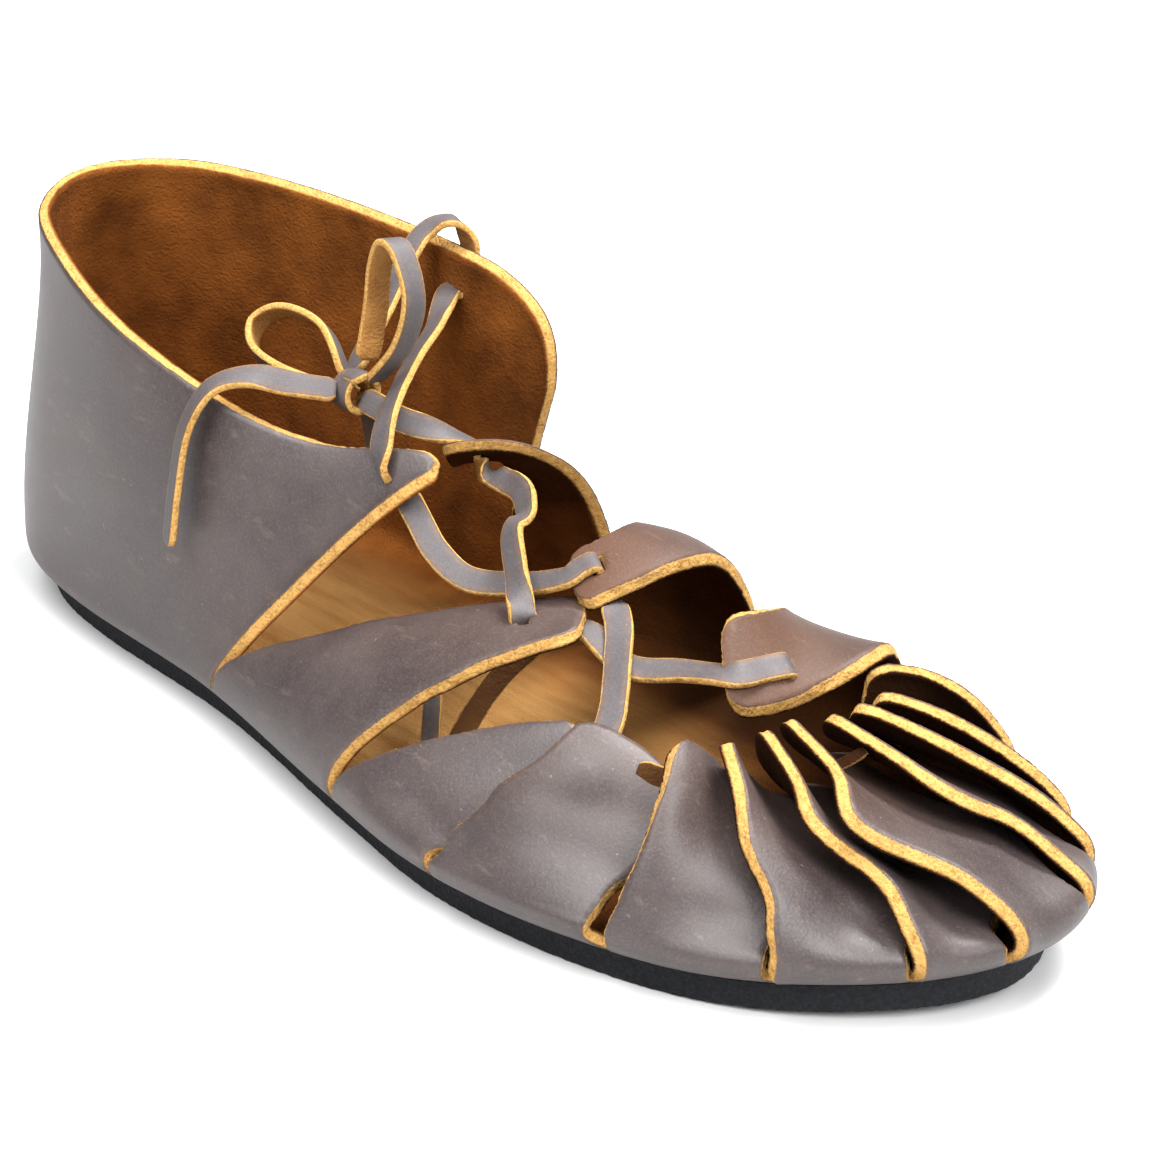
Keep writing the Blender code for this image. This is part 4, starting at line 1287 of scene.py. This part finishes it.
def beside(name, ahead, out):
    """A stop beside a slit: so far towards the flap's tip, and so far out from the hide's middle."""
    slit = SLITS[name]
    return Stop(slit.centre + slit.ahead * ahead + slit.outward * out, slit.outward)


def way(x, y, z, heading, pitch):
    """A stop in the open, with the way that the grain side looks there."""
    return Stop((x, y, z), pointing(heading, pitch))


print("the thong rises", BEFORE_SLIT + AFTER_SLIT, "mm through a slit")

# %% Route the two halves
first_half = [
    way(69, -31, 34, -70, 40), way(66.5, -24.5, 36.6, -70, 50), way(63.6, -19.6, 39.6, -72, 52),
    way(56, -11.4, 43.2, -72, 52), way(48.5, -4.2, 46.4, -60, 60),
    *out_through("inner_mid", -SLITS["inner_mid"].ahead),
    beside("inner_mid", 3, 2.2), beside("inner_mid", 7, 1.8),
    way(24.5, -8.5, 47.0, -60, 60), way(14.4, -12.8, 45.9, -55, 50), way(6, -13.8, 49.2, -50, 45),
    way(-1, -13, 54.5, -45, 40),
    *out_through("outer_quarter", -SLITS["outer_quarter"].ahead),
    way(-8.6, -15.2, 68.8, -80, 15), way(-13.4, -9.4, 72.2, -80, 22), way(-25.4, 6.3, 74.6, -80, 25),
    way(-36.4, 22, 75.8, -75, 25),
    *out_through("inner_quarter", SLITS["inner_quarter"].ahead),
]
over_collar = [
    beside("inner_quarter", 0.5, 2.4), way(-47.2, 40.4, 82, 90, 0), way(-46.8, 40.6, 87.5, 90, 10),
    way(-49, 37.5, 92.5, 60, 80), way(-52, 30.5, 89, -90, 50), way(-44, 14, 79, -90, 40),
    way(-33.2, -2.6, 73.2, -90, 40),
]
second_half = [
    beside("inner_front", -8, -2.6), *out_through("inner_front", -SLITS["inner_front"].ahead),
    beside("inner_front", 5, 2.1), beside("inner_front", 12, 2.1),
    way(67, -5.5, 43.5, -30, 65), way(57, -9.6, 42, -40, 65),
    beside("outer_back", 12, -2.3), beside("outer_back", 5, -2.8),
    *out_through("outer_back", (0.9, -0.3, -0.3)),
    way(27, -11.2, 51.6, -92, 30), way(20.4, -6.4, 56.4, -92, 22), way(18.2, -0.8, 58.0, -88, 25),
    way(11, 4.2, 58.8, -80, 35), way(2.5, 6.6, 57.6, -50, 45),
    *out_through("inner_back", -SLITS["inner_back"].ahead),
    way(-15.5, -2.8, 67.2, -60, 35), way(-20, -4.6, 68.6, -60, 30), way(-25.5, -6.5, 70.6, -60, 20),
]
thong_one, _, length_one = sweep_thong("thong_outer_half", first_half)
thong_two, _, length_two = sweep_thong("thong_inner_half", second_half)
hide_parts("lace_front_crossing", "lace_mid_crossing")
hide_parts("lace_top_crossing")
print("the halves are", round(length_one), "and", round(length_two), "mm long")

# %% [markdown]
# ## The bow
#
# The bow is tied where the halves meet, inside the collar. It has a tall loop that stands up by the
# inner quarter, a second loop that leans back over the foot, and two ends: one hangs over the outer
# collar and one drops inside. The flesh side of the thong is inside the loops, so each loop's facing
# points away from its own middle.

# %% Tie the bow
LOOP_FRONT = [(-25.2, -3.8, 73.8), (-18, -1.8, 83), (-15.5, -0.5, 93), (-20, 0.5, 101.5),
              (-25, 1, 102.5), (-28, 1, 97), (-28.5, 0, 88), (-27.9, -3.2, 77.3)]
LOOP_BACK = [(-31.5, -6.2, 73.2), (-42, -3, 80), (-53, -5, 81.5), (-58, -9, 78),
             (-53, -13, 74.5), (-43, -13, 72.5), (-31.9, -9.6, 71.1)]
END_OUTER = [(-28.1, -11.4, 72.8), (-33, -18, 74.5), (-38.5, -25, 76.5), (-43, -32, 74.5),
             (-45.5, -37, 66), (-46, -40.3, 53), (-46, -42.5, 42)]
END_INNER = [(-29.75, -3.55, 69.55), (-36, 3, 63), (-39, 7, 54), (-41, 9, 44), (-44, 11, 36)]
KNOT_CENTRE = np.array([-27.5, -7, 71.5])
KNOT_TURNS = 1.35
KNOT_STOPS = 14
KNOT_RADIUS = 3.1
KNOT_GROWTH = 0.12
KNOT_DRIFT = 0.9
KNOT_WIDTH = 5.0


def loop_stops(points):
    middle = np.mean(points, axis=0)
    return [Stop(point, unit(np.array(point) - middle)) for point in points]


def end_stops(points, facing):
    return [Stop(point, facing) for point in points]


def knot_stops():
    """A band of thong wound once and a third round the middle of the bow."""
    stops = []
    for turn in np.linspace(0, 2 * math.pi * KNOT_TURNS, KNOT_STOPS):
        outward = np.array([0.0, math.cos(turn), math.sin(turn)])
        drift = np.array([KNOT_DRIFT * (turn / 4 - 1), 0, 0])
        stops.append(Stop(KNOT_CENTRE + outward * (KNOT_RADIUS + KNOT_GROWTH * turn) + drift, outward))
    return stops


BOW = [
    ("bow_over_collar", over_collar, "lace_over_collar", "object"),
    ("bow_loop_front", loop_stops(LOOP_FRONT), "lace_loop_front", "object"),
    ("bow_loop_back", loop_stops(LOOP_BACK), "lace_loop_back", "object"),
    ("bow_end_outer", end_stops(END_OUTER, (-0.3, -0.8, 0.5)), "lace_end_outer", "bare"),
    ("bow_end_inner", end_stops(END_INNER, (0.4, -0.8, 0.4)), "lace_end_inner", "bare"),
]
bow = []
for name, stops, node, far_end in BOW:
    piece, line, length = sweep_thong(name, stops)
    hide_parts(node)
    lay_cord(piece, length)
    bow.append(piece)
knot = sweep_thong("bow_knot", knot_stops(), width=KNOT_WIDTH)[0]
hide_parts("lace_knot")
bow.append(knot)

# %% [markdown]
# ## The drawstring
#
# A narrower thong gathers the toe flaps from inside. Only bits of it show: its flesh side where it
# comes out over the outer front flap, a bridge between two toe flaps, and two runs inside the shoe that
# can be seen past the outer middle flap. These bits are swept in the same way, each with its own width
# and its own number for browning and painted shade, which darkens the flesh side of bits in shade.

# %% Lay the drawstring's bits
Bit = namedtuple("Bit", "name stops width browned")
DRAWSTRING_BITS = [
    Bit("drawstring_scrap", [
        way(77.6, -26.6, 35.2, 125, -20), way(81.2, -24.6, 34.2, 130, -25),
        way(86.5, -20.6, 32.6, 130, -25)], 4.2, 0.25),
    Bit("drawstring_bridge", [
        way(101.6, -1.2, 35.4, 130, -45), way(103.6, 1.0, 37.2, 130, -45),
        way(105.8, 3.4, 39.4, 130, -45)], 2.0, 0.05),
]
INSIDE_RUNS = [
    Bit("inside_run_near", [
        way(33, -36, 17, 140, -25), way(24.4, -23.8, 19, 140, -25), way(17.2, -8.6, 22.5, 140, -25),
        way(17.5, 1.6, 27.5, 140, -25), way(20, 9, 33, 140, -25)], 4.6, 0.25),
    Bit("inside_run_far", [
        way(34, -39.5, 17, -60, 60), way(24, -31.5, 18.6, -60, 60), way(12, -20.8, 20.8, -60, 60),
        way(-2, -9, 24, -60, 60)], 3.8, 0.0),
]
drawstring = [sweep_thong(*bit)[0] for bit in DRAWSTRING_BITS]
for bit in INSIDE_RUNS:
    piece, line, length = sweep_thong(*bit)
    lay_cord(piece, length)
    drawstring.append(piece)

# %% Finish the thong
THONG_COLORS = HIDE_COLORS._replace(
    grain_dark=(0.038, 0.033, 0.036, 1), grain_light=(0.066, 0.056, 0.058, 1),
    # The darkest flesh colour of the thong is painted shade too.
    flesh_deep=(0.022, 0.0065, 0.0025, 1), flesh_dark=(0.14, 0.056, 0.015, 1),
    flesh_light=(0.33, 0.165, 0.048, 1), rough=0.58,
)
thong_finish = leather_finish("thong_leather", THONG_COLORS)
thongs = [thong_one, thong_two, *bow, *drawstring]
for piece in thongs:
    piece.data.materials.append(thong_finish)
    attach(piece, "root")
print("the thong has", sum(triangles(piece) for piece in thongs), "triangles")

# %% [markdown]
# ## Floor and light
#
# The shoe stands on a plain pale floor under four soft boxes. The key is above and behind, a wider one
# over the outer side stands for the sky, and two weaker ones light the outer side and the toe from the
# front. A dim, faintly blue world fills the shadows.

# %% Lay the floor
FLOOR_SIZE = 8
FLOOR_GREYS = (0.56, 0.58)
bpy.ops.mesh.primitive_plane_add(size=FLOOR_SIZE)
floor = bpy.context.object
floor.name = "floor"
floor_finish = Finish("pale_floor")
floor_finish.put("Base Color", floor_finish.spread(floor_finish.noise(3, 2), 0, 1, *FLOOR_GREYS))
floor_finish.put("Roughness", 0.9)
floor.data.materials.append(floor_finish.material)
print("the floor is", FLOOR_SIZE, "m across")

# %% Light the scene
WORLD_COLOR = (0.84, 0.92, 1, 1)
WORLD_STRENGTH = 0.10
LIGHT_TARGET = Vector((0.03, 0, 0.03))
Softbox = namedtuple("Softbox", "name place size power")
SOFTBOXES = [
    Softbox("key", (0.10, 0.50, 1.00), 0.50, 30.0),
    Softbox("sky", (0.10, -0.48, 1.35), 0.90, 32.0),
    Softbox("front", (0.25, -1.00, 0.75), 0.55, 9.0),
    Softbox("toe", (0.95, -0.15, 0.80), 0.50, 17.0),
]
world = bpy.data.worlds.new("studio")
bpy.context.scene.world = world
world.use_nodes = True
background = world.node_tree.nodes["Background"]
background.inputs["Color"].default_value = WORLD_COLOR
background.inputs["Strength"].default_value = WORLD_STRENGTH
for box in SOFTBOXES:
    bpy.ops.object.light_add(type="AREA", location=box.place)
    light = bpy.context.object
    light.name = box.name
    light.data.size = box.size
    light.data.energy = box.power
    light.rotation_euler = (LIGHT_TARGET - Vector(box.place)).to_track_quat("-Z", "Y").to_euler()
bpy.context.scene.view_settings.view_transform = "Standard"
print("lights:", ", ".join(box.name for box in SOFTBOXES))
